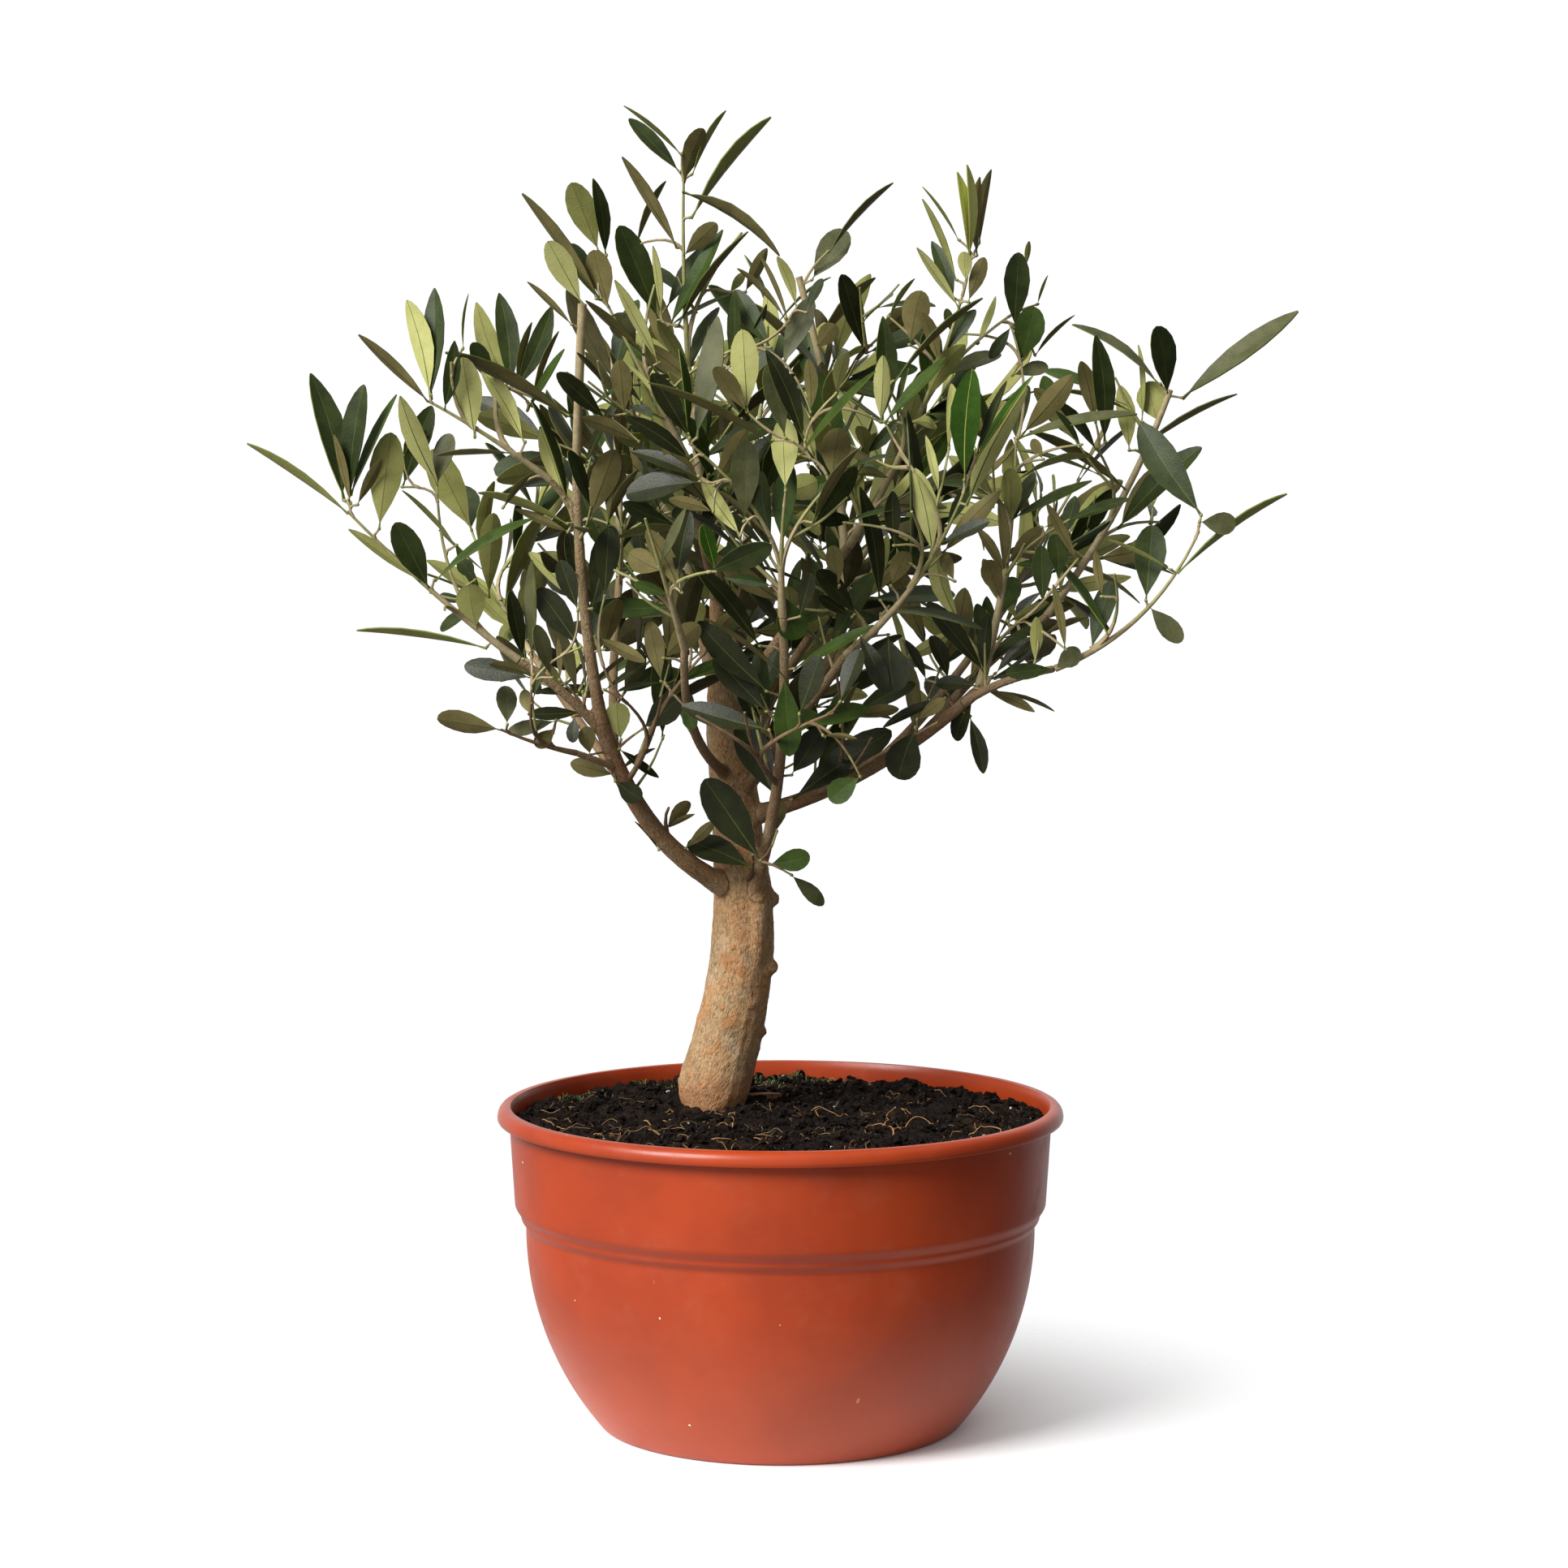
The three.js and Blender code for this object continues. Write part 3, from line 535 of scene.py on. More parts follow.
def makePot():
    shell = drawnUp("bowlPot", pot["segments"], potProfile())
    finishPiece(shell, [newFinish("terracottaPlastic", potFinish)], 35)
    dressed(shell, "pot", "pot")


makePot()
report("pot")


# The trunk and boughs, from the same sizes as their solids

trunkStations = [
    (-37, 24, 146, 19.5), (-30, 23, 165, 17.3), (-20, 20, 206, 15.6), (-17, 17, 240, 15),
    (-20, 13, 276, 12.6), (-22, 11, 305, 11.6), (-26, 9, 336, 9.8), (-28, 8, 357, 6.4),
]
boughStep, fineBoughStep = 24, 8
boughs = tableOf(("on", "at", "tip", "bow", "girth"), {  # what carries it and where, and its ends' radii
    "left_bough": ("trunk", 0.51, (-82, -44, 336), (-7, -6, -10), (5.2, 3.9)),
    "left_stick": ("left_bough", 1, (-92, -72, 461), (-3, -1, -1), (3.1, 2.2)),
    "left_high_arm": ("left_stick", 0.75, (-104, -72, 450), (1, 1, 1), (1.9, 1.7)),
    "left_arm": ("left_bough", 0.96, (-120, -56, 368), (1, 0, 2), (2.6, 2)),
    "left_back_stick": ("left_bough", 0.87, (-77, 22, 404), (-2, 5, -4), (2.5, 2)),
    "left_skirt_arm": ("left_bough", 0.82, (-94, -53, 325), (1, -1, 0), (1.9, 1.7)),
    "left_back_bough": ("left_bough", 0.49, (-125, 104, 364), (2, 4, -4), (2.9, 2)),
    "front_shoot": ("trunk", 0.45, (1, -88, 389), (7, -5, -5), (3.4, 2.2)),
    "right_bough": ("trunk", 0.68, (92, -36, 353), (3, -2, -8), (4.3, 2.8)),
    "right_arm": ("right_bough", 0.92, (126, -56, 364), (-3, -3, 2), (2.3, 1.9)),
    "right_upper_arm": ("right_bough", 0.78, (128, 32, 385), (-4, 4, 0), (2.5, 2)),
    "right_back_bough": ("right_bough", 0.53, (113, 104, 388), (-3, 8, -10), (2.8, 2)),
    "middle_right_bough": ("trunk", 0.82, (32, 60, 383), (6, 4, -8), (3.6, 2.6)),
    "inner_right_bough": ("trunk", 0.72, (30, -56, 370), (-1, -4, -2), (2.9, 2.2)),
    "leader": ("trunk", 1, (-30, 2, 402), (-1, 0, 0), (4.8, 3.1)),
    "upper_left_bough": ("leader", 0.82, (-43, -40, 460), (0, -3, -4), (2.5, 1.9)),
    "upper_right_bough": ("trunk", 0.91, (32, -7, 419), (-1, 0, 0), (3.3, 2.4)),
    "front_left_bough": ("trunk", 0.77, (-43, -84, 374), (-7, -3, -7), (2.8, 2)),
    "back_left_bough": ("trunk", 0.85, (-44, 96, 401), (-1, 2, -3), (3.3, 2.3)),
    "back_right_bough": ("trunk", 0.75, (28, 106, 390), (-6, 4, -1), (3.3, 2.3)),
    "back_low_bough": ("trunk", 0.62, (2, 130, 370), (-2, 2, -8), (3.5, 2.2)),
    "top_back_bough": ("trunk", 0.93, (-17, 50, 412), (1, 3, -2), (3.2, 2.4)),
})


def growLimbs():  # every limb's line; where a bough starts is read from the coarse ones, as in its solid
    coarse = {"trunk": rounded(trunkStations)}
    fine = {"trunk": rounded(coarse["trunk"])}
    for name, bough in boughs.items():
        carrier = coarse[bough["on"]]
        start = along(carrier, bough["at"] * lengthsOf(carrier)[-1])[0]
        for lines, step in ((coarse, boughStep), (fine, fineBoughStep)):
            lines[name] = tapered(bowed(start, bough["tip"], bough["bow"], step), *bough["girth"])
    return coarse, fine


limbs, fineLimbs = growLimbs()

bark = {
    "voxel": 1.0, "smoothing": 3, "blend": 60, "bevel": 3, "trunkBevel": 7,
    "collar": 1.35, "collarReach": 1.15,
    "footTop": 162, "footGirth": 5.2, "footShift": (5, 0), "footPower": 1.6,  # drawn in below the soil
    "knots": [  # height, bearing, how proud, size
        (250, -12, 3.6, 6), (217, -14, 3.3, 6.5), (185, -4, 2.3, 4), (233, 266, 0.3, 5), (231, 300, 0.5, 6),
        (234, 318, 0.4, 4), (222, 241, 0.5, 7), (216, 273, 0.2, 5), (200, 303, 0.7, 8), (191, 268, 0.2, 6),
        (290, 262, 0.5, 6), (259, 196, 1.0, 7), (226, 110, 1.4, 7), (204, 60, 1.0, 6),
    ],
    "knotBall": 0.62, "knotSides": 16, "knotLean": 0.3, "knotReach": 0.75,
    "humpOver": 0.8, "hump": (0.5, 2.2),  # a knot prouder than this sits on a hump: less proud, and wider
    "ridge": [  # height, bearing, how proud, radius
        (206, 300, -5, 3.2), (222, 302, -3, 4.2), (240, 302, -1.4, 4.8), (258, 301, -0.2, 4.6),
        (276, 300, 0.6, 4),
    ],
    "patternGap": 400, "chunk": 4000,  # keeps two limbs' patterns apart; corners that are placed at a time
}
barkAttributes = {"barkPlace": "FLOAT_VECTOR", "barkGirth": "FLOAT", "nearKnot": "FLOAT"}


def curveTube(line, name):  # a path with a bevel and a radius at each point, made a mesh
    selectNone()
    bpy.ops.curve.primitive_bezier_curve_add()
    path = bpy.context.object
    path.name = name
    path.location = (0, 0, 0)
    path.data.splines.clear()
    spline = path.data.splines.new("POLY")
    spline.points.add(len(line) - 1)
    for point, (x, y, z, radius) in zip(spline.points, line):
        point.co = (x * mm, y * mm, z * mm, 1)
        point.radius = radius * mm
    path.data.bevel_depth = 1
    path.data.bevel_resolution = bark["trunkBevel" if name == "trunk" else "bevel"]
    path.data.use_fill_caps = True
    bpy.ops.object.convert(target="MESH")
    return bpy.context.object


def trunkPoint(height, bearing, out):  # a place on the trunk's surface
    line = fineLimbs["trunk"]
    x, y, radius = (np.interp(height, line[:, 2], line[:, axis]) for axis in (0, 1, 3))
    turn = math.radians(bearing)
    return Vector((x + (radius + out) * math.cos(turn), y + (radius + out) * math.sin(turn), height)) * mm


def knotShape(height, bearing, proud, size):  # an old pruning scar: a ball, sunk into the trunk
    selectNone()
    radius = bark["knotBall"] * size
    place = trunkPoint(height, bearing, proud - radius)
    sides = bark["knotSides"]
    bpy.ops.mesh.primitive_uv_sphere_add(
        segments=sides, ring_count=sides // 2, radius=radius * mm, location=place,
    )
    knot = bpy.context.object
    turn = math.radians(bearing)
    knot.rotation_mode = "QUATERNION"
    out = Vector((math.cos(turn), math.sin(turn), bark["knotLean"]))
    knot.rotation_quaternion = out.to_track_quat("Z", "Y")
    bpy.ops.object.transform_apply(location=True, rotation=True, scale=True)
    return knot


def shapedLimb(name, line):  # the trunk draws in at its foot, and a bough thickens at what carries it
    if name == "trunk":
        depth = (bark["footTop"] - line[:, 2]) / (bark["footTop"] - trunkStations[0][2])
        low = np.clip(depth, 0, 1) ** bark["footPower"]
        return line + low[:, None] * [*bark["footShift"], 0, -bark["footGirth"]]
    carrier = limbs[boughs[name]["on"]]
    girth = along(carrier, boughs[name]["at"] * lengthsOf(carrier)[-1])[0][3]
    reach = girth + bark["collarReach"] * line[0, 3]
    swell = 1 + (bark["collar"] - 1) * np.exp(-((lengthsOf(line) / reach) ** 4))
    return np.column_stack([line[:, :3], line[:, 3] * swell])


def barkPlaces(points):  # each corner's place along its limb, that limb's girth, and how near a knot is
    stretches = []
    for number, line in enumerate(fineLimbs.values()):
        lengths = lengthsOf(line)
        across = np.cross(oddWay, unit((line[1] - line[0])[:3]))
        for index, row in enumerate(line[:-1]):
            way = (line[index + 1] - row)[:3]
            across = unit(flattened(across, unit(way)))
            offset = lengths[index] + bark["patternGap"] * number
            stretches.append((row[:3], way, (across, np.cross(unit(way), across)), offset, row[3], number))
    starts, ways, frames, offsets, radii, owners = (np.array(column) for column in zip(*stretches))
    places = np.zeros((len(points), 3))
    girths = np.zeros(len(points))
    limbOf = np.zeros(len(points))
    squares = (ways ** 2).sum(1)
    for first in range(0, len(points), bark["chunk"]):
        chunk = slice(first, first + bark["chunk"])
        away = points[chunk][:, None] - starts
        share = np.clip((away * ways).sum(2) / squares, 0, 1)
        rest = away - share[..., None] * ways
        best = (np.linalg.norm(rest, axis=2) - radii).argmin(1)
        chosen = (np.arange(len(best)), best)
        for axis in (0, 1):
            places[chunk, axis] = (rest[chosen] * frames[best, axis]).sum(1)
        places[chunk, 2] = offsets[best] + share[chosen] * np.sqrt(squares[best])
        girths[chunk] = radii[best]
        limbOf[chunk] = owners[best]
    line = fineLimbs["trunk"]
    onTrunk = limbOf == list(fineLimbs).index("trunk")  # by height alone, so that nothing jumps at its bends
    heights = points[onTrunk, 2]
    for axis in (0, 1):
        places[onTrunk, axis] = points[onTrunk, axis] - np.interp(heights, line[:, 2], line[:, axis])
    places[onTrunk, 2] = heights
    nearKnot = np.zeros(len(points))
    for height, bearing, proud, size in bark["knots"]:
        away = np.linalg.norm(points - np.array(trunkPoint(height, bearing, proud)) / mm, axis=1)
        nearKnot = np.maximum(nearKnot, np.exp(-((away / (bark["knotReach"] * size)) ** 2)))
    return places, girths, nearKnot


def blended(piece, values, times):  # evened out with its neighbours, so that nothing jumps where limbs meet
    ends = np.zeros(2 * len(piece.data.edges), int)
    piece.data.edges.foreach_get("vertices", ends)
    one, other = ends.reshape(-1, 2).T
    total = np.bincount(ends, minlength=len(values))
    for _ in range(times):
        sums = np.bincount(one, values[other], len(values)) + np.bincount(other, values[one], len(values))
        values = 0.5 * values + 0.5 * sums / total
    return values


def barkHeight(kit):  # in metres: grains, soft furrows and low swellings, less on thin boughs
    place, girth, knot = (
        kit.add("GeometryNodeInputNamedAttribute", {"data_type": kind}, {"Name": name})
        for name, kind in barkAttributes.items()
    )
    thick = kit.mask(girth, 2, 14)
    grain = kit.noise(place, 0.42, 3, 0.6) - 0.5
    furrow = kit.noise(kit.stretched(place, 0.25), 0.3, 3, 0.6) - 0.5
    swelling = kit.noise(kit.stretched(place, 0.8), 0.06, 2) - 0.5
    wart = kit.mask(kit.noise(place, 0.2, 2, 0.4), 0.62, 0.76)
    gnarl = (kit.noise(place, 0.45, 3, 0.6) - 0.5) * knot
    low = grain * 0.6 + furrow * 0.3 + swelling * 2.4 + wart * 0.4
    return low * (thick * 0.85 + 0.15) * mm + gnarl * 1.5 * mm


def barkFinish(kit, place):  # warm brown with grey patches, worn places, moss, flecks and rusty spots, and painted shade on thin wood among the lowest leaves
    own, girth, knot = (
        kit.add("ShaderNodeAttribute", {"attribute_name": name}, out="Fac" if kind == "FLOAT" else "Vector")
        for name, kind in barkAttributes.items()
    )
    height = kit.part(place, 2)
    squat = kit.stretched(own, 0.8)
    patch = kit.noise(kit.stretched(own, 0.7), 0.05, 4, 0.6)
    worn = kit.mask(kit.noise(own, 0.07, 4, 0.65), 0.52, 0.66)
    mossy = kit.mask(kit.noise(squat, 0.085, 3, 0.6), 0.55, 0.66)
    fleck = kit.noise(kit.stretched(own, 0.55), 0.95, 3, 0.7)
    coarse = kit.mask(kit.noise(own, 0.09, 3, 0.6), 0.4, 0.62) * 0.6 + 0.4
    streak = kit.noise(kit.stretched(own, 0.25), 1.1, 4, 0.7)
    onTrunk = kit.mask(girth, 8, 12)
    rare = kit.mask(kit.part(kit.cells(squat, 0.22, "Color"), 0), 0.66, 0.7) * onTrunk
    spots = (1 - kit.mask(kit.cells(squat, 0.22), 0.16, 0.34)) * rare
    rust = kit.mask(kit.noise(own, 0.1, 4, 0.65), 0.53, 0.64) * onTrunk
    foot = 1 - kit.mask(height + kit.noise(own, 0.12) * 0.02, 0.156, 0.186)
    thin, young = 1 - kit.mask(girth, 5.5, 8), 1 - kit.mask(girth, 2.2, 3.8)
    paintedShade = kit.mask(height, 0.27, 0.3) * (1 - kit.mask(height, 0.345, 0.385))  # painted shade: a band of height among the lowest leaves, where the crown shades the wood
    base = kit.layered(
        (186, 144, 100),
        (kit.mask(patch, 0.36, 0.6), (172, 142, 104)),
        (worn * 0.5, (204, 180, 148)),
        (mossy * 0.45, (124, 110, 76)),
        (kit.mask(fleck, 0.5, 0.62) * coarse * 0.72, (118, 86, 54)),
        ((1 - kit.mask(fleck, 0.32, 0.44)) * 0.4, (210, 184, 146)),
        (kit.mask(streak, 0.52, 0.66) * 0.6, (104, 76, 50)),
        (spots * 0.6, (182, 118, 62)),
        (kit.mask(knot, 0.3, 0.8) * 0.4, (164, 106, 60)),
        (rust * 0.42, (176, 116, 62)),
        (foot * (0.35 + 0.4 * kit.mask(fleck, 0.4, 0.6)), (160, 94, 50)),
        # thin boughs a little darker brown, young twigs paler; both darker in the painted shade among the
        # lowest leaves
        (thin * (0.12 + 0.5 * paintedShade), (98, 70, 48)),
        (young * (0.7 - 0.35 * paintedShade), (146, 130, 98)),
    )
    relief = streak * 0.5 + fleck + spots * 0.4
    return {
        "Base Color": base, "Roughness": 0.78 + streak * 0.15, "Normal": kit.bump(relief, 0.9, 0.0013),
        "Specular IOR Level": 0.3,
    }


def makeWood():
    parts = [curveTube(shapedLimb(name, line), name) for name, line in fineLimbs.items()]
    ridge = [(*(trunkPoint(*place) / mm), radius) for *place, radius in bark["ridge"]]
    parts.append(curveTube(rounded(rounded(ridge)), "ridge"))
    for height, bearing, proud, size in bark["knots"]:
        parts.append(knotShape(height, bearing, proud, size))
        if proud > bark["humpOver"]:
            lower, wider = bark["hump"]
            parts.append(knotShape(height, bearing, lower * proud, wider * size))
    selectNone()
    for part in parts:
        part.select_set(True)
    wood = parts[0]
    bpy.context.view_layer.objects.active = wood
    bpy.ops.object.join()
    wood.name = "bark"
    applied(wood, "REMESH", mode="VOXEL", voxel_size=bark["voxel"] * mm)
    applied(wood, "SMOOTH", factor=0.5, iterations=bark["smoothing"])
    places, girths, nearKnot = barkPlaces(cornersOf(wood) / mm)
    girths = blended(wood, girths, bark["blend"])
    for (name, kind), values in zip(barkAttributes.items(), (places, girths, nearKnot)):
        layer = wood.data.attributes.new(name, kind, "POINT")
        layer.data.foreach_set("vector" if kind == "FLOAT_VECTOR" else "value", np.ravel(values))
    displaced(wood, "barkRelief", barkHeight)
    finishPiece(wood, [newFinish("oliveBark", barkFinish)], 180)
    dressed(wood, "bark", "trunk", *boughs)
    report(f"bark of {len(wood.data.polygons)} faces")


makeWood()


# The soil: a body under a crumbled top, with clods, white grains, root fibres, moss and a bark chip

soil = {
    "level": 145, "clearance": 0.5, "mound": 4, "spread": 46, "lumps": 1.3, "topDepth": 9, "voxel": 1.3,
    "seed": 2203, "widestAt": 138, "bodyFrom": 12, "bodyRings": 14, "bodySides": 72, "topSides": 120,
    "margin": 2, "trunkMargin": 3,  # how far what is strewn stays from the pot and from the trunk
    "clods": {"count": 1900, "size": (0.6, 3.2), "sink": 0.15}, "clodSeeds": (3, 8, 21),
    "clodShape": (1, 0.8, 0.65), "clodRoughness": {"offset": 0.5, "uniform": 0.6, "normal": 0.5},
    "grains": {"count": 60, "size": (0.4, 1.0), "sink": 0.4},
    "fibres": {
        "count": 150, "edge": 6, "length": (10, 42), "radius": (0.13, 0.34), "steps": 12, "bend": 60,
        "jitter": 30, "lift": (0.6, 1.6), "thin": (1.1, 0.6), "fewest": 5,
    },
    "moss": [(4, 106, 20, 190), (-100, 60, 12, 90), (-64, 96, 9, 50)],  # x, y, reach and blades
    "blade": {"oval": (1.5, 0.6), "lean": 3, "tall": (1.2, 1.8), "radii": (0.34, 0.4, 0.08), "root": 0.4},
    "chip": {
        "place": (-9, 47), "length": 26, "width": 5.5, "height": 3, "lift": 1.6, "turn": -6,
        "cuts": 5, "endsFrom": 0.3, "ends": (1, 0.5, 0.6), "roughness": {"offset": 0.09, "seed": 5},
    },
}
soilInside = pot["wall"] + soil["clearance"]


def soilHeight(x, y):
    footX, footY = trunkStations[0][:2]
    away = ((x - footX) ** 2 + (y - footY) ** 2) / soil["spread"] ** 2
    lump = np.sin(x / 11 + 1.3) * np.cos(y / 9 - 0.4) + 0.6 * np.sin(x / 5.3 - y / 6.1)
    return soil["level"] + soil["mound"] * np.exp(-away) + soil["lumps"] * lump


def crumble(kit):  # coarse clods and fine crumbs on the top only
    place = kit.add("GeometryNodeInputPosition")
    upper = kit.mask(kit.part(place, 2), (soil["level"] - 7) * mm, (soil["level"] - 3) * mm)
    clods = kit.noise(place, 95, 4, 0.65) - 0.5
    crumbs = kit.noise(place, 330, 3, 0.7) - 0.5
    return (clods * 15 + crumbs * 7 + 0.6) * upper * mm


def soilFinish(kit, place):
    grain = kit.noise(place, 500, 5, 0.7)
    patch = kit.noise(place, 60, 3, 0.6)
    bright = kit.mask(kit.noise(place, 1100, 2), 0.66, 0.72)
    base = kit.layered(
        (10, 6, 5),
        (kit.mask(grain, 0.42, 0.66), (38, 25, 17)),
        (kit.mask(patch, 0.52, 0.72) * 0.5, (54, 38, 24)),
        (bright * 0.7, (112, 88, 60)),
    )
    return {
        "Base Color": base, "Roughness": 0.82 + grain * 0.15,
        "Normal": kit.bump(grain, 1.0, 0.002), "Specular IOR Level": 0.15,
    }


def makeSoil():
    earth = newFinish("darkSoil", soilFinish)
    last = soil["level"] - soil["topDepth"] + 2
    heights = [pot["floor"] + 0.5, *np.linspace(soil["bodyFrom"], last, soil["bodyRings"])]
    body = drawnUp("soilBody", soil["bodySides"], [(potRadius(z) - soilInside, z) for z in heights])
    finishPiece(body, [earth])
    dressed(body, "soil", "soil")

    middle = (soil["level"] - soil["topDepth"] / 2) * mm
    top = begin(
        bpy.ops.mesh.primitive_cylinder_add, "soilTop",
        vertices=soil["topSides"], radius=(potRadius(soil["widestAt"]) - soilInside) * mm,
        depth=soil["topDepth"] * mm, location=(0, 0, middle),
    )
    objectMode()
    applied(top, "REMESH", mode="VOXEL", voxel_size=soil["voxel"] * mm)
    points = cornersOf(top)
    upper = points[:, 2] > middle
    x, y = points[:, 0] / mm, points[:, 1] / mm
    points[upper, 2] += (soilHeight(x, y)[upper] - soil["level"]) * mm
    top.data.vertices.foreach_set("co", points.ravel())
    displaced(top, "crumble", crumble)
    for corner in top.data.vertices:  # kept inside the pot's wall
        away = math.hypot(corner.co.x, corner.co.y) / mm
        limit = potRadius(corner.co.z / mm) - soilInside
        if away > limit:
            corner.co.x *= limit / away
            corner.co.y *= limit / away
    finishPiece(top, [earth], 60)
    dressed(top, "soil", "soil")
    return top, earth


def clodShape(seed):
    clod = begin(bpy.ops.mesh.primitive_ico_sphere_add, "clod", subdivisions=2, radius=1)
    bpy.ops.transform.resize(value=soil["clodShape"])
    bpy.ops.transform.vertex_random(**soil["clodRoughness"], seed=seed)
    return shapeOf(clod)


def scatterSoil(top, earth):
    draw = seeded(soil["seed"])
    mesh = top.data
    surface = BVHTree.FromPolygons([v.co for v in mesh.vertices], [f.vertices for f in mesh.polygons])
    reach = potRadius(soil["widestAt"]) - soilInside - soil["margin"]
    footX, footY, _, footRadius = trunkStations[0]

    def ground(x, y):
        hit = surface.ray_cast(Vector((x, y, 200)) * mm, Vector((0, 0, -1)))[0]
        return hit.z / mm if hit else soil["level"]

    def spot(edge):  # a place on the soil, clear of the trunk
        while True:
            turn = 2 * math.pi * draw()
            away = (reach - edge) * math.sqrt(draw())
            x, y = away * math.cos(turn), away * math.sin(turn)
            if math.hypot(x - footX, y - footY) > footRadius + soil["trunkMargin"]:
                return x, y

    def strewn(name, finish, shapes, count, size, sink):
        bundle = Bundle()
        for number in range(count):
            x, y = spot(size[1])
            scale = between(size, draw() ** 2)
            corners, faces, _ = shapes[number % len(shapes)]
            turn = 2 * math.pi * draw()
            across = np.array((math.cos(turn), math.sin(turn), 0))
            tilt = unit(np.array((draw() - 0.5, draw() - 0.5, 1.2)))
            across = unit(flattened(across, tilt))
            axes = np.array((across, np.cross(tilt, across), tilt))
            centre = np.array((x, y, ground(x, y) + scale * sink))
            bundle.add((centre + scale * corners @ axes) * mm, faces, 0)
        dressed(bundle.piece(name, [finish], 30), "soil")

    shapes = [clodShape(seed) for seed in soil["clodSeeds"]]
    strewn("clods", earth, shapes, **soil["clods"])
    white = mottledFinish("whiteGrain", (214, 208, 196), (180, 172, 158), 900)
    strewn("whiteGrains", white, shapes, **soil["grains"])

    fibre, fibres = soil["fibres"], Bundle()
    (low, high), (thick, thinner) = fibre["lift"], fibre["thin"]
    for number in range(fibre["count"]):
        x, y = spot(fibre["edge"])
        length = between(fibre["length"], draw() ** 2)
        radius = between(fibre["radius"], draw() ** 2)
        turn, bend = 360 * draw(), (draw() - 0.5) * fibre["bend"]
        line, steps = [], fibre["steps"]
        for step in range(steps):
            lift = low + high * math.sin(math.pi * step / (steps - 1)) * draw()
            if math.hypot(x, y) < reach:
                line.append((x, y, ground(x, y) + lift, radius * (thick - thinner * step / steps)))
            turn += bend + (draw() - 0.5) * fibre["jitter"]
            x += length / steps * math.cos(math.radians(turn))
            y += length / steps * math.sin(math.radians(turn))
        if len(line) >= fibre["fewest"]:
            fibres.add(*tube(rounded(line), 4), number % 2)
    golden = mottledFinish("rootFibre", (176, 134, 78), (140, 98, 54), 300)
    dull = mottledFinish("dullFibre", (120, 92, 56), (86, 66, 42), 300)
    dressed(fibres.piece("rootFibres", [golden, dull], 60), "bark")

    moss, grass = Bundle(), soil["blade"]
    (wide, deep), (thin, middle, tip) = grass["oval"], grass["radii"]
    for x, y, spread, blades in soil["moss"]:
        for _ in range(blades):
            away, turn = spread * math.sqrt(draw()), 2 * math.pi * draw()
            baseX, baseY = x + wide * away * math.cos(turn), y + deep * away * math.sin(turn)
            if math.hypot(baseX, baseY) > reach:
                continue
            base = ground(baseX, baseY)
            leanX, leanY = ((draw() - 0.5) * grass["lean"] for _ in range(2))
            tall = dealt(grass["tall"], draw())
            line = [
                (baseX + lean * leanX, baseY + lean * leanY, base + up, radius)
                for lean, up, radius in ((0, -grass["root"], thin), (0.4, 0.6 * tall, middle), (1, tall, tip))
            ]
            moss.add(*tube(line, 3), 0)
    green = mottledFinish("moss", (84, 92, 36), (48, 62, 24), 200)
    dressed(moss.piece("moss", [green], 60), "foliage")

    chip = soil["chip"]
    x, y = chip["place"]
    middle = (0, 0, 0)
    flake = begin(bpy.ops.mesh.primitive_cube_add, "barkChip", size=1)
    bpy.ops.mesh.subdivide(number_cuts=chip["cuts"])
    pick(lambda corner: abs(corner.co.x) > chip["endsFrom"])
    bpy.ops.transform.resize(value=chip["ends"], center_override=middle)
    pick(lambda corner: True)
    bpy.ops.transform.vertex_random(**chip["roughness"])
    size = Vector([chip[side] for side in ("length", "width", "height")]) * mm
    bpy.ops.transform.resize(value=size, center_override=middle)
    bpy.ops.transform.rotate(value=math.radians(chip["turn"]), orient_axis="Z", center_override=middle)
    bpy.ops.transform.translate(value=(x * mm, y * mm, (ground(x, y) + chip["lift"]) * mm))
    objectMode()
    applied(flake, "SUBSURF", levels=1, render_levels=1)
    finishPiece(flake, [mottledFinish("chipBark", (126, 78, 46), (92, 56, 34), 500)], 60)
    dressed(flake, "bark")


scatterSoil(*makeSoil())
report("soil")


# The sprays: what carries each stem, its tip and bow, its leaves' usual length, its seed and its side shoots,
# each by how far up the stem it starts and by its tip. A stem (0) or shoot that was pruned is a woody stick
# with the radius that "cut" gives its end. "at" is where a stem starts, which is else its carrier's end.

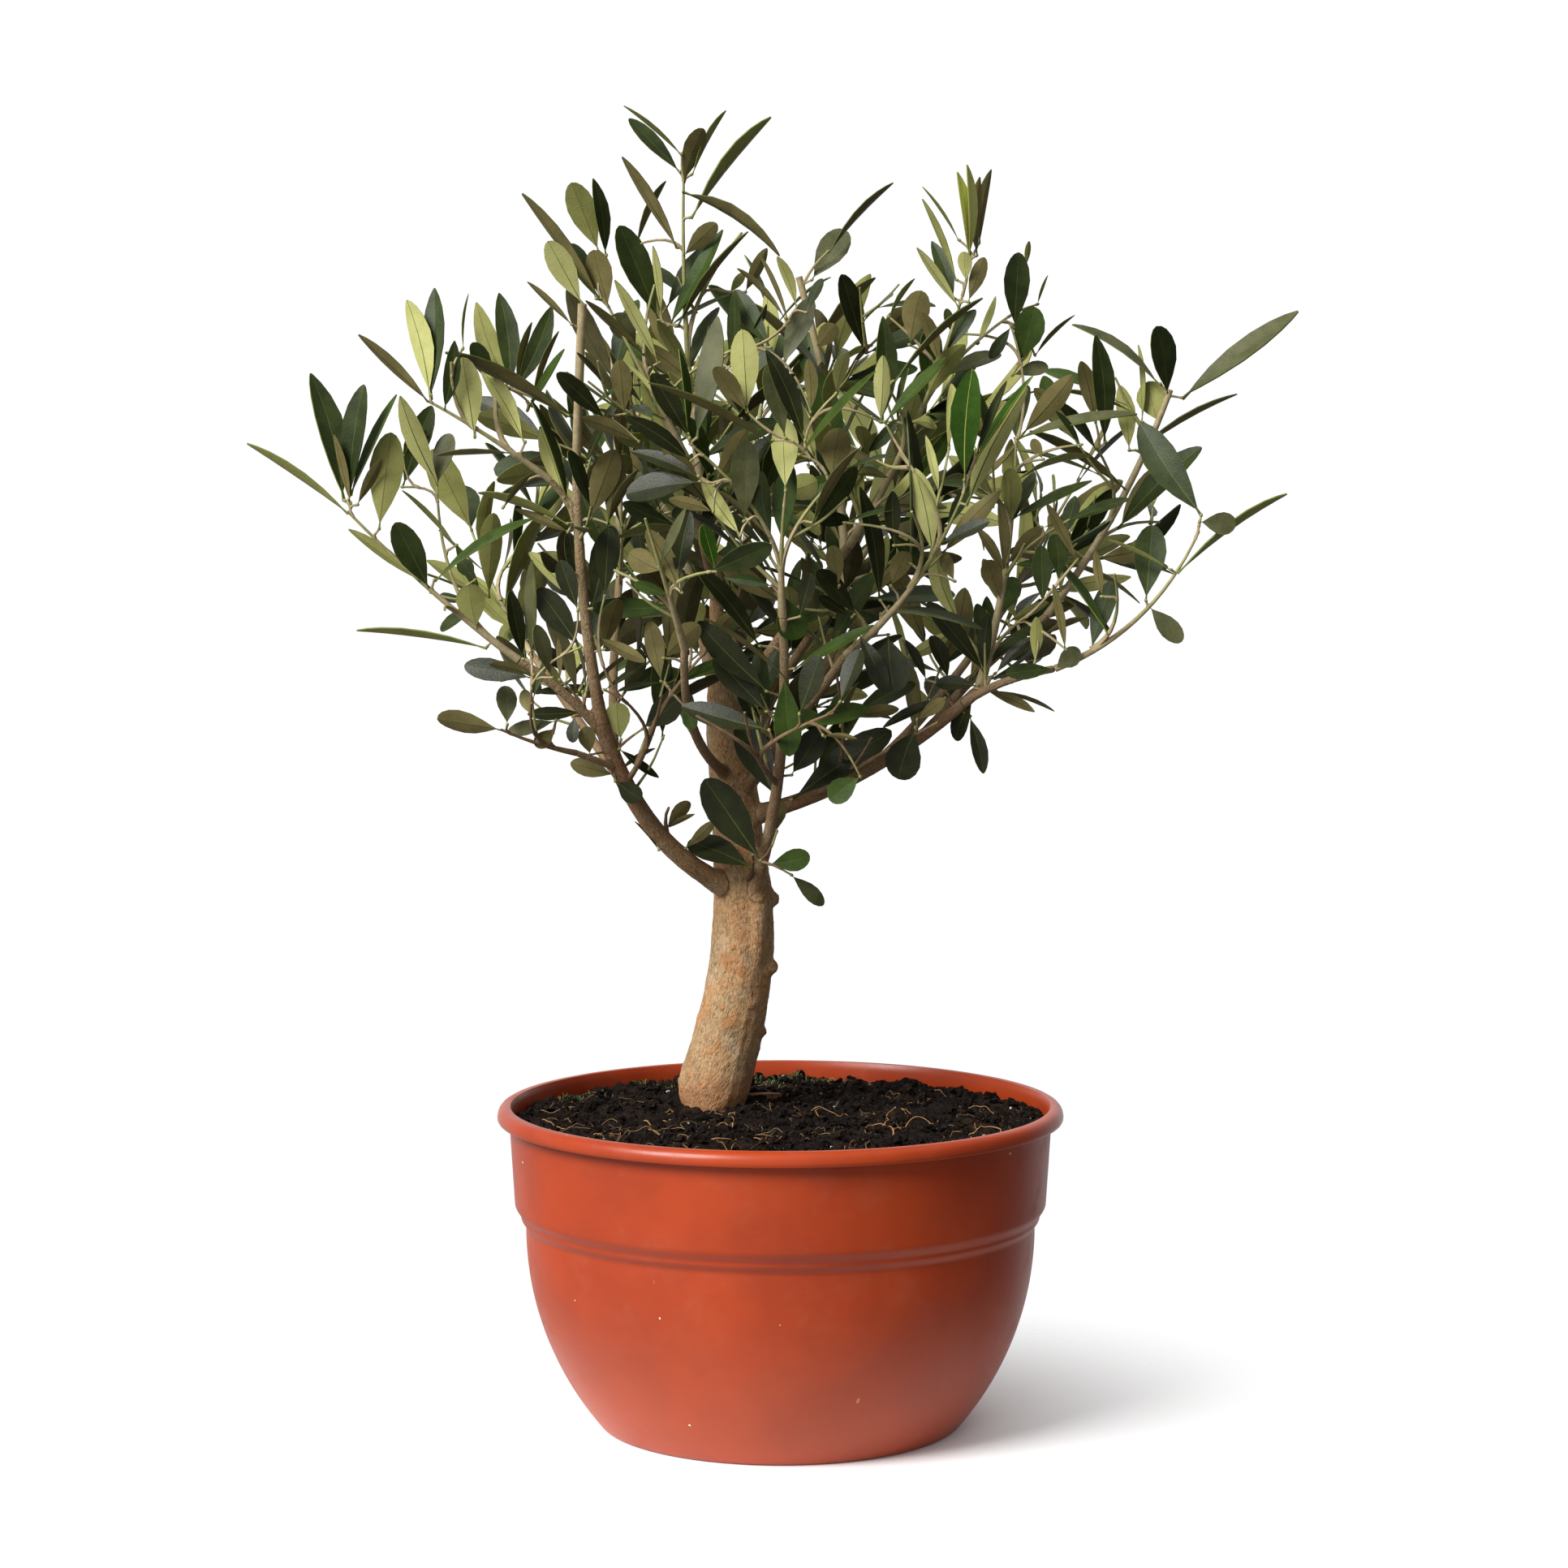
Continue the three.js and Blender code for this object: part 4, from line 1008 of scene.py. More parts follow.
sprays = tableOf(("on", "tip", "bow", "leaf", "seed", "shoots", "cut", "at"), {
    "left_tall_spray": ("left_stick", (-88, -92, 528), (0, -2, 0), 46, 11, [], {0: 2.1}),
    "left_high_spray": (
        "left_high_arm", (-157, -90, 485), (1, -2, 1), 48, 23,
        [(0.3, (-128, -66, 494)), (0.62, (-146, -98, 502))], {1: 1.3},
    ),
    "left_low_spray": (
        "left_arm", (-196, -70, 436), (-1, -1, -2), 52, 35,
        [(0.12, (-159, -32, 449)), (0.3, (-150, -94, 392))],
    ),
    "left_back_spray": (
        "left_back_stick", (-82, 60, 510), (1, 2, -1), 46, 41,
        [(0.12, (-50, 34, 436)), (0.36, (-114, 38, 470))], {0: 1.8},
    ),
    "left_skirt_spray": (
        "left_skirt_arm", (-127, -72, 337), (0, -1, -1), 34, 53,
        [(0.3, (-112, -88, 350))],
    ),
    "far_left_back_spray": (
        "left_back_bough", (-159, 148, 427), (-2, 3, -3), 50, 67,
        [(0.25, (-176, 92, 404)), (0.45, (-124, 160, 424))],
    ),
    "low_sprig": ("trunk", (-13, -32, 276), (2, -1, -2), 42, 71, [], {}, 0.53),
    "left_low_sprig": ("left_bough", (-52, -32, 298), (-2, -1, 2), 22, 73, [], {}, 0.42),
    "left_inner_sprig": (
        "left_bough", (-54, -64, 352), (2, -2, -2), 40, 75,
        [(0.4, (-72, -80, 352)), (0.6, (-34, -54, 372))], {}, 0.76,
    ),
    "middle_sprig": (
        "front_shoot", (-16, -92, 346), (-2, -3, -3), 42, 77,
        [(0.4, (24, -92, 346)), (0.5, (-38, -84, 344))], {}, 0.5,
    ),
    "right_low_sprig": (
        "right_bough", (42, -54, 332), (2, -3, -3), 42, 79,
        [(0.2, (26, -58, 360)), (0.4, (72, -66, 340))], {}, 0.3,
    ),
    "front_spray": (
        "front_shoot", (2, -110, 441), (-1, 0, 0), 42, 83,
        [(0.3, (-40, -118, 466)), (0.34, (30, -114, 456))],
    ),
    "right_upright_spray": (
        "right_bough", (110, -16, 470), (4, -1, -1), 44, 97,
        [(0.05, (112, -66, 388)), (0.4, (134, -34, 432)), (0.62, (86, -44, 452))],
    ),
    "right_low_spray": ("right_arm", (190, -68, 427), (6, -2, -7), 46, 101, [(0.2, (150, -88, 408))]),
    "right_far_spray": (
        "right_upper_arm", (189, 52, 494), (4, 1, -3), 52, 113,
        [(0.3, (186, 68, 430)), (0.42, (150, 14, 466))], {0: 1.5},
    ),
    "far_right_back_spray": (
        "right_back_bough", (153, 146, 452), (-1, 2, -1), 50, 127,
        [(0.2, (168, 106, 412)), (0.45, (118, 158, 440))],
    ),
    "middle_right_spray": (
        "middle_right_bough", (9, 78, 550), (6, 5, 0), 50, 131,
        [(0.2, (66, 70, 436)), (0.55, (48, 60, 520))], {0: 1.7},
    ),
    "inner_right_spray": (
        "inner_right_bough", (83, -92, 447), (5, -1, -4), 50, 149,
        [(0.1, (12, -76, 404)), (0.45, (58, -112, 436)), (0.65, (54, -70, 462))],
    ),
    "crown_top_spray": (
        "leader", (-45, -10, 592), (-5, -2, -1), 44, 151,
        [(0.08, (-2, -30, 444)), (0.38, (-20, -34, 512)), (0.56, (-18, 0, 566))],
    ),
    "upper_left_spray": (
        "upper_left_bough", (-80, -48, 532), (0, -3, 0), 46, 163,
        [(0.4, (-58, -30, 540)), (0.2, (-22, -76, 508))],
    ),
    "upper_right_spray": (
        "upper_right_bough", (86, -30, 542), (5, -1, -2), 48, 179,
        [(0.1, (62, -38, 448)), (0.34, (46, -52, 496)), (0.52, (112, -6, 530))],
    ),
    "front_left_spray": (
        "front_left_bough", (-59, -128, 433), (1, -3, -2), 42, 181,
        [(0.3, (-74, -102, 410)), (0.4, (-30, -130, 410))],
    ),
    "back_left_spray": (
        "back_left_bough", (-80, 160, 501), (-1, 3, -2), 50, 193,
        [(0.08, (-18, 112, 436)), (0.34, (-100, 120, 456)), (0.5, (-42, 168, 476))],
    ),
    "back_right_spray": (
        "back_right_bough", (83, 166, 493), (1, 3, -2), 50, 211,
        [(0.08, (8, 116, 436)), (0.36, (96, 128, 446)), (0.5, (34, 172, 470))],
    ),
    "back_low_spray": (
        "back_low_bough", (18, 180, 428), (1, 2, -3), 48, 223,
        [(0.2, (-36, 158, 402)), (0.3, (54, 158, 404))],
    ),
    "top_back_spray": (
        "top_back_bough", (-3, 98, 528), (-2, 3, -1), 48, 239,
        [(0.08, (-44, 66, 452)), (0.45, (-48, 80, 502)), (0.55, (32, 104, 500))],
    ),
})

# The rule of growth. The first block is the solids' own, and the second carries it on to finer growth, with
# more pairs of leaves between two nodes and with short spurs.
rule = {
    "stemRadius": 1.7, "shootRadius": 1.4, "twigRadius": 1.2, "tipRadius": 1, "step": 30, "neck": 3,
    "shootBend": 0.4, "bareStart": 13, "internode": 44, "endGap": 5, "tipGap": 2, "pairTurn": 90,
    "twigEvery": 2, "twigLength": 46, "twigSpread": 48, "twigBare": 0.5, "lift": 0.35,
    "twigSpreadDeal": (0.8, 0.5), "twigShorter": (1.1, -0.6), "twigLengthDeal": (0.7, 0.6),
    "leafSpread": (46, 22), "leafJitter": 14, "leafRoll": 70, "leafDeal": (0.76, 0.44), "leafWidth": 0.28,
    "leafWidest": 0.52, "lowestLeaf": 172, "tries": [(1, 1), (0.45, 0.9), (1, 0.7)],  # spread and size
}
finer = {
    "seeds": (7919, 104729, 52361),  # for the solids' own draws, the finer growth and its thinning
    "between": 1, "firstNode": 9, "nodeGap": 0.6, "fineStep": 6, "endRadius": 0.62, "twigEndRadius": 0.5,
    "spurFrom": 0.6, "spurEvery": 34, "spurTo": 0.62, "spurLength": (16, 34), "spurSpreadDeal": (0.8, 0.4),
    "spurRadius": 0.8, "spurNode": 9, "spurLeaf": 0.8, "leafMargin": -6, "twigMargin": -2, "limbMargin": 0.8,
    "near": 95, "growth": 0.9, "leafDeal": (0.7, 0.5), "skip": 0.1, "taper": 1.4, "startTaper": (0.97, 1.1),
    "keep": 0.95, "keepBehindShown": 0.5,  # the share of leaves, fewer where the photograph's own are placed
    "hidingFrom": 0.05, "hidingDepth": 4,  # what counts as in front of a leaf that the photograph shows
}
spurs = {  # on the outer stretch of each bough
    "from": 0.3, "every": 17, "end": 4, "lowest": 296, "skip": 0.15, "turn": 90, "jitter": 50, "spread": 58,
    "length": (14, 26), "lift": 0.5, "margin": 1.5, "neck": 4, "radius": 1.0, "firstNode": 7, "leaf": 40,
    "leafDeal": (0.6, 0.5), "seed": 40503,
}
# The share of its length from which each kind is green
greenFrom = {"twig": 0.35, "shoot": 0.42, "boughSpur": 0.3, "shownTwig": 0.7, "never": 2.0}
woodySprays = [  # whose stems are brown all along
    "low_sprig", "left_low_sprig", "left_inner_sprig", "middle_sprig", "right_low_sprig", "left_skirt_spray",
    "left_tall_spray",
]
paintedShadeSprays = [  # whose leaves wear darker tones, painted shade for the crown shading them; None is for the leaves on boughs
    *woodySprays, "left_back_spray", "front_left_spray", "inner_right_spray", "back_low_spray",
    "middle_right_spray", "front_spray", None,
]
topSprays = ["crown_top_spray", "upper_right_spray", "middle_right_spray"]  # which show closed at the top


def leafDraws(random):  # how a leaf turns, spreads and rolls, and its length
    return [random() - 0.5, random() - 0.5, random() - 0.5, random()]


def shootsOf(spray, step):  # the lines of the stem and of its side shoots
    carrier = limbs[spray["on"]]
    start = along(carrier, spray.get("at", 1) * lengthsOf(carrier)[-1])[0]
    stem = bowed(start, spray["tip"], spray["bow"], step)
    coarse = bowed(start, spray["tip"], spray["bow"], rule["step"])
    lines = [tapered(stem, rule["stemRadius"], rule["tipRadius"])]
    for share, tip in spray.get("shoots", []):
        point, heading = along(coarse, share * lengthsOf(coarse)[-1])
        control = point + heading * rule["shootBend"] * np.linalg.norm(np.asarray(tip) - point)
        lines.append(tapered(curved(point, control, tip, step), rule["shootRadius"], rule["tipRadius"]))
    return lines


def nodeAt(line, distance, share, bearing):
    row, heading = along(line, distance)
    return {"point": row[:3], "heading": heading, "share": share, "bearing": bearing, "at": distance}


def nodesOf(line, start, first):
    total = lengthsOf(line)[-1]
    count = max(0, math.floor((total - start - rule["endGap"]) / rule["internode"]) + 1)
    rows = [(start + k * rule["internode"], first + rule["pairTurn"] * k) for k in range(count)]
    last = total - rule["tipGap"]
    rows.append((last, first + rule["pairTurn"] * count))
    return [nodeAt(line, at, at / total if at < last else 1, bearing) for at, bearing in rows]


def nodesBetween(line, nodes, start):  # the extra nodes before, between and after the rule's own
    total = lengthsOf(line)[-1]
    spacing = rule["internode"] / (finer["between"] + 1)
    marks = [node["at"] for node in nodes]
    extra = []
    distance = start - spacing * math.floor((start - finer["firstNode"]) / spacing)
    while distance < total - rule["endGap"]:
        if all(abs(distance - mark) > finer["nodeGap"] * spacing for mark in marks):
            bearing = nodes[0]["bearing"] + rule["pairTurn"] * round((distance - start) / spacing)
            extra.append(nodeAt(line, distance, distance / total, bearing))
        distance += spacing
    return extra


def onLeaf(leaf, share):  # a place on its middle line
    return leaf["root"] + share * leaf["length"] * leaf["way"]


def leafCorners(leaf, root=0.15):
    side = rule["leafWidth"] * 0.5 * leaf["length"] * np.cross(leaf["face"], leaf["way"])
    widest = onLeaf(leaf, rule["leafWidest"])
    return np.array((onLeaf(leaf, root), widest + side, onLeaf(leaf, 1), widest - side))


def leafPlaces(leaf):
    root, left, tip, right = leafCorners(leaf, 0.25)
    middle = (left + right) / 2
    ends = ((root, left), (root, right), (root, middle), (left, tip), (right, tip), (middle, tip))
    return np.array((left, right, middle, tip, *((one + other) / 2 for one, other in ends)))


nearlyNone = 1e-9  # stands for 0 in a divisor


def pierced(starts, ends, kites):  # whether any stretch from a start to an end passes through any kite
    if not len(starts) or not len(kites):
        return False
    way = (ends - starts)[:, None]
    for second, third in ((1, 2), (2, 3)):
        corner = kites[None, :, 0]
        edgeOne, edgeTwo = kites[None, :, second] - corner, kites[None, :, third] - corner
        square = np.cross(way, edgeTwo)
        scale = (edgeOne * square).sum(2)
        scale[np.abs(scale) < nearlyNone] = nearlyNone
        away = starts[:, None] - corner
        one = (away * square).sum(2) / scale
        across = np.cross(away, edgeOne)
        two = (way * across).sum(2) / scale
        far = (edgeTwo * across).sum(2) / scale
        if ((one >= 0) & (two >= 0) & (one + two <= 1) & (far > 0) & (far < 1)).any():
            return True
    return False


class Crown:  # all that has grown so far
    def __init__(self):
        self.shoots = {name: shootsOf(spray, rule["step"]) for name, spray in sprays.items()}
        self.spaces = {name: Space(lines) for name, lines in self.shoots.items()}
        self.limbs = Space(list(limbs.values()))
        self.leaves = []
        self.kites = np.zeros((0, 4, 3))
        self.roots = np.zeros((0, 3))
        self.twigs = []
        self.buds = []
        self.shown = np.zeros((0, 6))  # of those the photograph shows: start and end there, width and depth

    def clear(self, name, points, margin):  # in the spray's own space, and clear of every limb
        if (points[:, 2] < rule["lowestLeaf"]).any():
            return False
        if (self.limbs.distances(points) < finer["limbMargin"]).any():
            return False
        if name is None:
            return True
        own = self.spaces[name].distances(points).min(1) + 2 * margin
        others = (space for other, space in self.spaces.items() if other != name)
        return all((space.distances(points).min(1) >= own).all() for space in others)

    def tryLeaf(self, name, node, side, length, draw, wood):
        spread = between(rule["leafSpread"], node["share"])
        for spreads, sizes in rule["tries"]:
            angle = (spread + 2 * rule["leafJitter"] * draw[1]) * spreads
            way = turned(node["heading"], node["bearing"] + side + 2 * rule["leafJitter"] * draw[0], angle)
            face = spun(unit(flattened(node["heading"], way)), way, rule["leafRoll"] * draw[2])
            leaf = {"root": node["point"], "way": way, "face": face, "length": length * sizes}
            if self.placed({**leaf, "spray": name}, wood):
                self.buds.append(node)
                return True
        return False

    def placed(self, leaf, wood):
        own = leaf["spray"]
        edge = crownEdges["inner" if own is None or own in shownLeaves else "outer"]
        if not all(insideEdge(onLeaf(leaf, share), edge) for share in (0.5, 1)):
            return False
        if not self.clear(own, leafPlaces(leaf), finer["leafMargin"]) or self.hides(leaf):
            return False
        kite = leafCorners(leaf)[None]
        if pierced(wood.start[:, :3], wood.end[:, :3], kite) or not self.apart(leaf):
            return False
        self.keep(leaf)
        return True

    def hides(self, leaf):  # whether the camera would see it in front of a leaf that the photograph shows
        places = leafPlaces(leaf)[1:]
        span = self.shown[:, 2:4] - self.shown[:, :2]
        long = np.linalg.norm(span, axis=1)
        away = pixelsOf(places)[:, None] - self.shown[:, :2]
        share = (away * span).sum(2) / long ** 2
        aside = np.abs(away[..., 0] * span[:, 1] - away[..., 1] * span[:, 0]) / long
        inside = (share > finer["hidingFrom"]) & (share < 1) & (aside < 0.5 * self.shown[:, 4])
        return (inside & (places[:, 1:2] < self.shown[:, 5] + finer["hidingDepth"])).any()

    def apart(self, leaf):  # whether it passes through no other leaf
        kite = leafCorners(leaf)[None]
        others = self.kites[np.linalg.norm(self.roots - leaf["root"], axis=1) < finer["near"]]
        if not len(others):
            return True
        if pierced(kite[0], np.roll(kite[0], -1, 0), others):
            return False
        return not pierced(others.reshape(-1, 3), np.roll(others, -1, 1).reshape(-1, 3), kite)

    def addTwig(self, line, share):  # green from a share of its length on
        self.twigs.append({"line": line, "green": share})

    def keep(self, leaf):
        self.leaves.append(leaf)
        self.kites = np.concatenate([self.kites, leafCorners(leaf)[None]])
        self.roots = np.concatenate([self.roots, leaf["root"][None]])


def growSpray(crown, name, spray):
    random, second, thin = (seeded(spray["seed"] * factor) for factor in finer["seeds"])
    keep = finer["keepBehindShown" if name in shownLeaves and name not in topSprays else "keep"]
    cuts = spray.get("cut", {})
    lines = []
    for number, line in enumerate(crown.shoots[name]):
        start = rule["internode"] if number else rule["bareStart"]
        lines.append({"line": line, "start": start, "first": 360 * random(), "shoot": number})
    for row in list(lines):
        for k, node in enumerate(nodesOf(row["line"], row["start"], row["first"])[:-1]):
            draw = [random(), random(), random()]
            if k % rule["twigEvery"]:
                continue
            spread = rule["twigSpread"] * dealt(rule["twigSpreadDeal"], draw[1])
            way = turned(node["heading"], node["bearing"] + (0 if draw[0] < 0.5 else 180), spread)
            length = rule["twigLength"] * dealt(rule["twigShorter"], node["share"])
            length *= dealt(rule["twigLengthDeal"], draw[2])
            twig = twigLine(crown, name, node["point"], way, length, rule["twigRadius"])
            if twig is not None:
                lines.append({"line": twig, "start": rule["twigBare"] * length, "first": node["bearing"]})
    for row in list(lines):  # short spurs between the rule's own nodes
        reach, every = lengthsOf(row["line"])[-1], finer["spurEvery"]
        for mark in np.arange(every * finer["spurFrom"], finer["spurTo"] * reach, every):
            point, heading = along(row["line"], mark)
            draw = [second() for _ in range(3)]
            length = between(finer["spurLength"], draw[0])
            bearing = 360 * draw[1]
            way = turned(heading, bearing, rule["twigSpread"] * dealt(finer["spurSpreadDeal"], draw[2]))
            twig = twigLine(crown, name, point[:3], way, length, finer["spurRadius"])
            if twig is not None:
                lines.append({"line": twig, "start": finer["spurNode"], "first": bearing + 90, "spur": True})
    wood = Space([*limbs.values(), *(row["line"] for row in lines)])
    for row in lines:
        if row.get("spur"):
            continue
        for node in nodesOf(row["line"], row["start"], row["first"]):
            for side in (0, 180):
                draw = leafDraws(random)
                length = spray["leaf"] * dealt(rule["leafDeal"], draw[3]) * finer["growth"]
                if row.get("shoot") in cuts and node["share"] == 1 or thin() > keep:
                    continue
                if crown.tryLeaf(name, node, side, length, draw, wood):
                    row["leafy"] = True
    for row in lines:
        growExtraLeaves(crown, name, row, spray["leaf"], second, wood, keep)
    for row in lines:
        if "leafy" in row and "shoot" not in row:
            crown.addTwig(rounded(rounded(row["line"])), 0.0 if row.get("spur") else greenFrom["twig"])
    for number, line in enumerate(shootsOf(spray, finer["fineStep"])):
        brown = number in cuts or name in woodySprays
        limbEnd = limbs[spray["on"]][-1, 3] if "at" not in spray and not number else line[0, 3]
        end = cuts.get(number, finer["endRadius"])
        thinner, thicker = finer["startTaper"]
        first = max(line[0, 3], end * thicker) if number else max(limbEnd * thinner, end)
        radii = taperOf(len(line), first, end)
        crown.addTwig(np.column_stack([line[:, :3], radii]), greenFrom["never" if brown else "shoot"])


def taperOf(count, first, last):  # quick at first, then slow, as a shoot thins out
    share = np.linspace(0, 1, count)
    return last + (first - last) * (1 - share) ** finer["taper"]


def turnedUp(point, way, length, lift):  # the middle and the tip of a twig whose outer half turns up
    middle = point + way * 0.5 * length
    return middle, middle + unit(way + np.array((0, 0, lift))) * 0.5 * length


def twigLine(crown, name, point, way, length, radius):
    middle, tip = turnedUp(point, way, length, rule["lift"])
    if not crown.clear(name, np.array((middle, (middle + tip) / 2, tip)), finer["twigMargin"]):
        return None
    line = tapered([point + way * rule["neck"], middle, tip], radius, finer["twigEndRadius"])
    return np.vstack([[*point, radius], line])


def growExtraLeaves(crown, name, row, size, random, wood, keep):
    nodes = nodesOf(row["line"], row["start"], row["first"])
    if not row.get("spur"):
        nodes = nodesBetween(row["line"], nodes, row["start"])
    for node in nodes:
        for side in (0, 180):
            draw = leafDraws(random)
            if random() < 1 - keep * (1 - finer["skip"]):
                continue
            length = size * dealt(finer["leafDeal"], draw[3]) * finer["growth"]
            length *= finer["spurLeaf"] if row.get("spur") else 1
            if crown.tryLeaf(name, node, side, length, draw, wood):
                row["leafy"] = True


def growOnBoughs(crown):  # spurs with a pair or two of leaves on the outer stretch of each bough
    for number, (name, line) in enumerate(limbs.items()):
        if name == "trunk":
            continue
        random = seeded(spurs["seed"] * (number + 3))
        reach = lengthsOf(line)[-1]
        marks = np.arange(spurs["from"] * reach, reach - spurs["end"], spurs["every"])
        for k, mark in enumerate(marks):
            row, heading = along(line, mark)
            draw = [random() for _ in range(4)]
            if row[2] < spurs["lowest"] or draw[3] < spurs["skip"]:
                continue
            bearing = spurs["turn"] * k + spurs["jitter"] * draw[0]
            way = turned(heading, bearing, spurs["spread"])
            middle, tip = turnedUp(row[:3], way, dealt(spurs["length"], draw[1]), spurs["lift"])
            if (crown.limbs.distances(np.array((middle, tip))) < spurs["margin"]).any():
                continue
            points = [row[:3], row[:3] + way * spurs["neck"], middle, tip]
            spur = tapered(points, spurs["radius"], finer["twigEndRadius"])
            wood = Space([*limbs.values(), spur])
            leafy = False
            for node in nodesOf(spur, row[3] + spurs["firstNode"], 360 * draw[2]):
                for side in (0, 180):
                    leafDraw = leafDraws(random)
                    size = spurs["leaf"] * dealt(spurs["leafDeal"], leafDraw[3])
                    leafy |= crown.tryLeaf(None, node, side, size, leafDraw, wood)
            if leafy:
                crown.addTwig(rounded(spur), greenFrom["boughSpur"])


# Each kind's width, where it is widest, how pointed its tip is, how far it bows down, how far its halves fold
# up, and how far it sways sideways
leafKinds = tableOf(("wide", "widest", "tip", "arch", "fold", "sway"), {
    "slim": (0.22, 0.52, 0.7, 0.08, 0.24, 0.03),
    "common": (0.28, 0.56, 0.58, 0.1, 0.26, -0.02),
    "bowed": (0.26, 0.54, 0.64, 0.2, 0.22, 0.05),
    "broad": (0.34, 0.59, 0.5, 0.05, 0.16, 0.0),
    "back": (0.28, 0.57, 0.58, -0.08, 0.26, -0.05),
    "round": (0.5, 0.6, 0.46, 0.08, 0.14, 0.02),
})
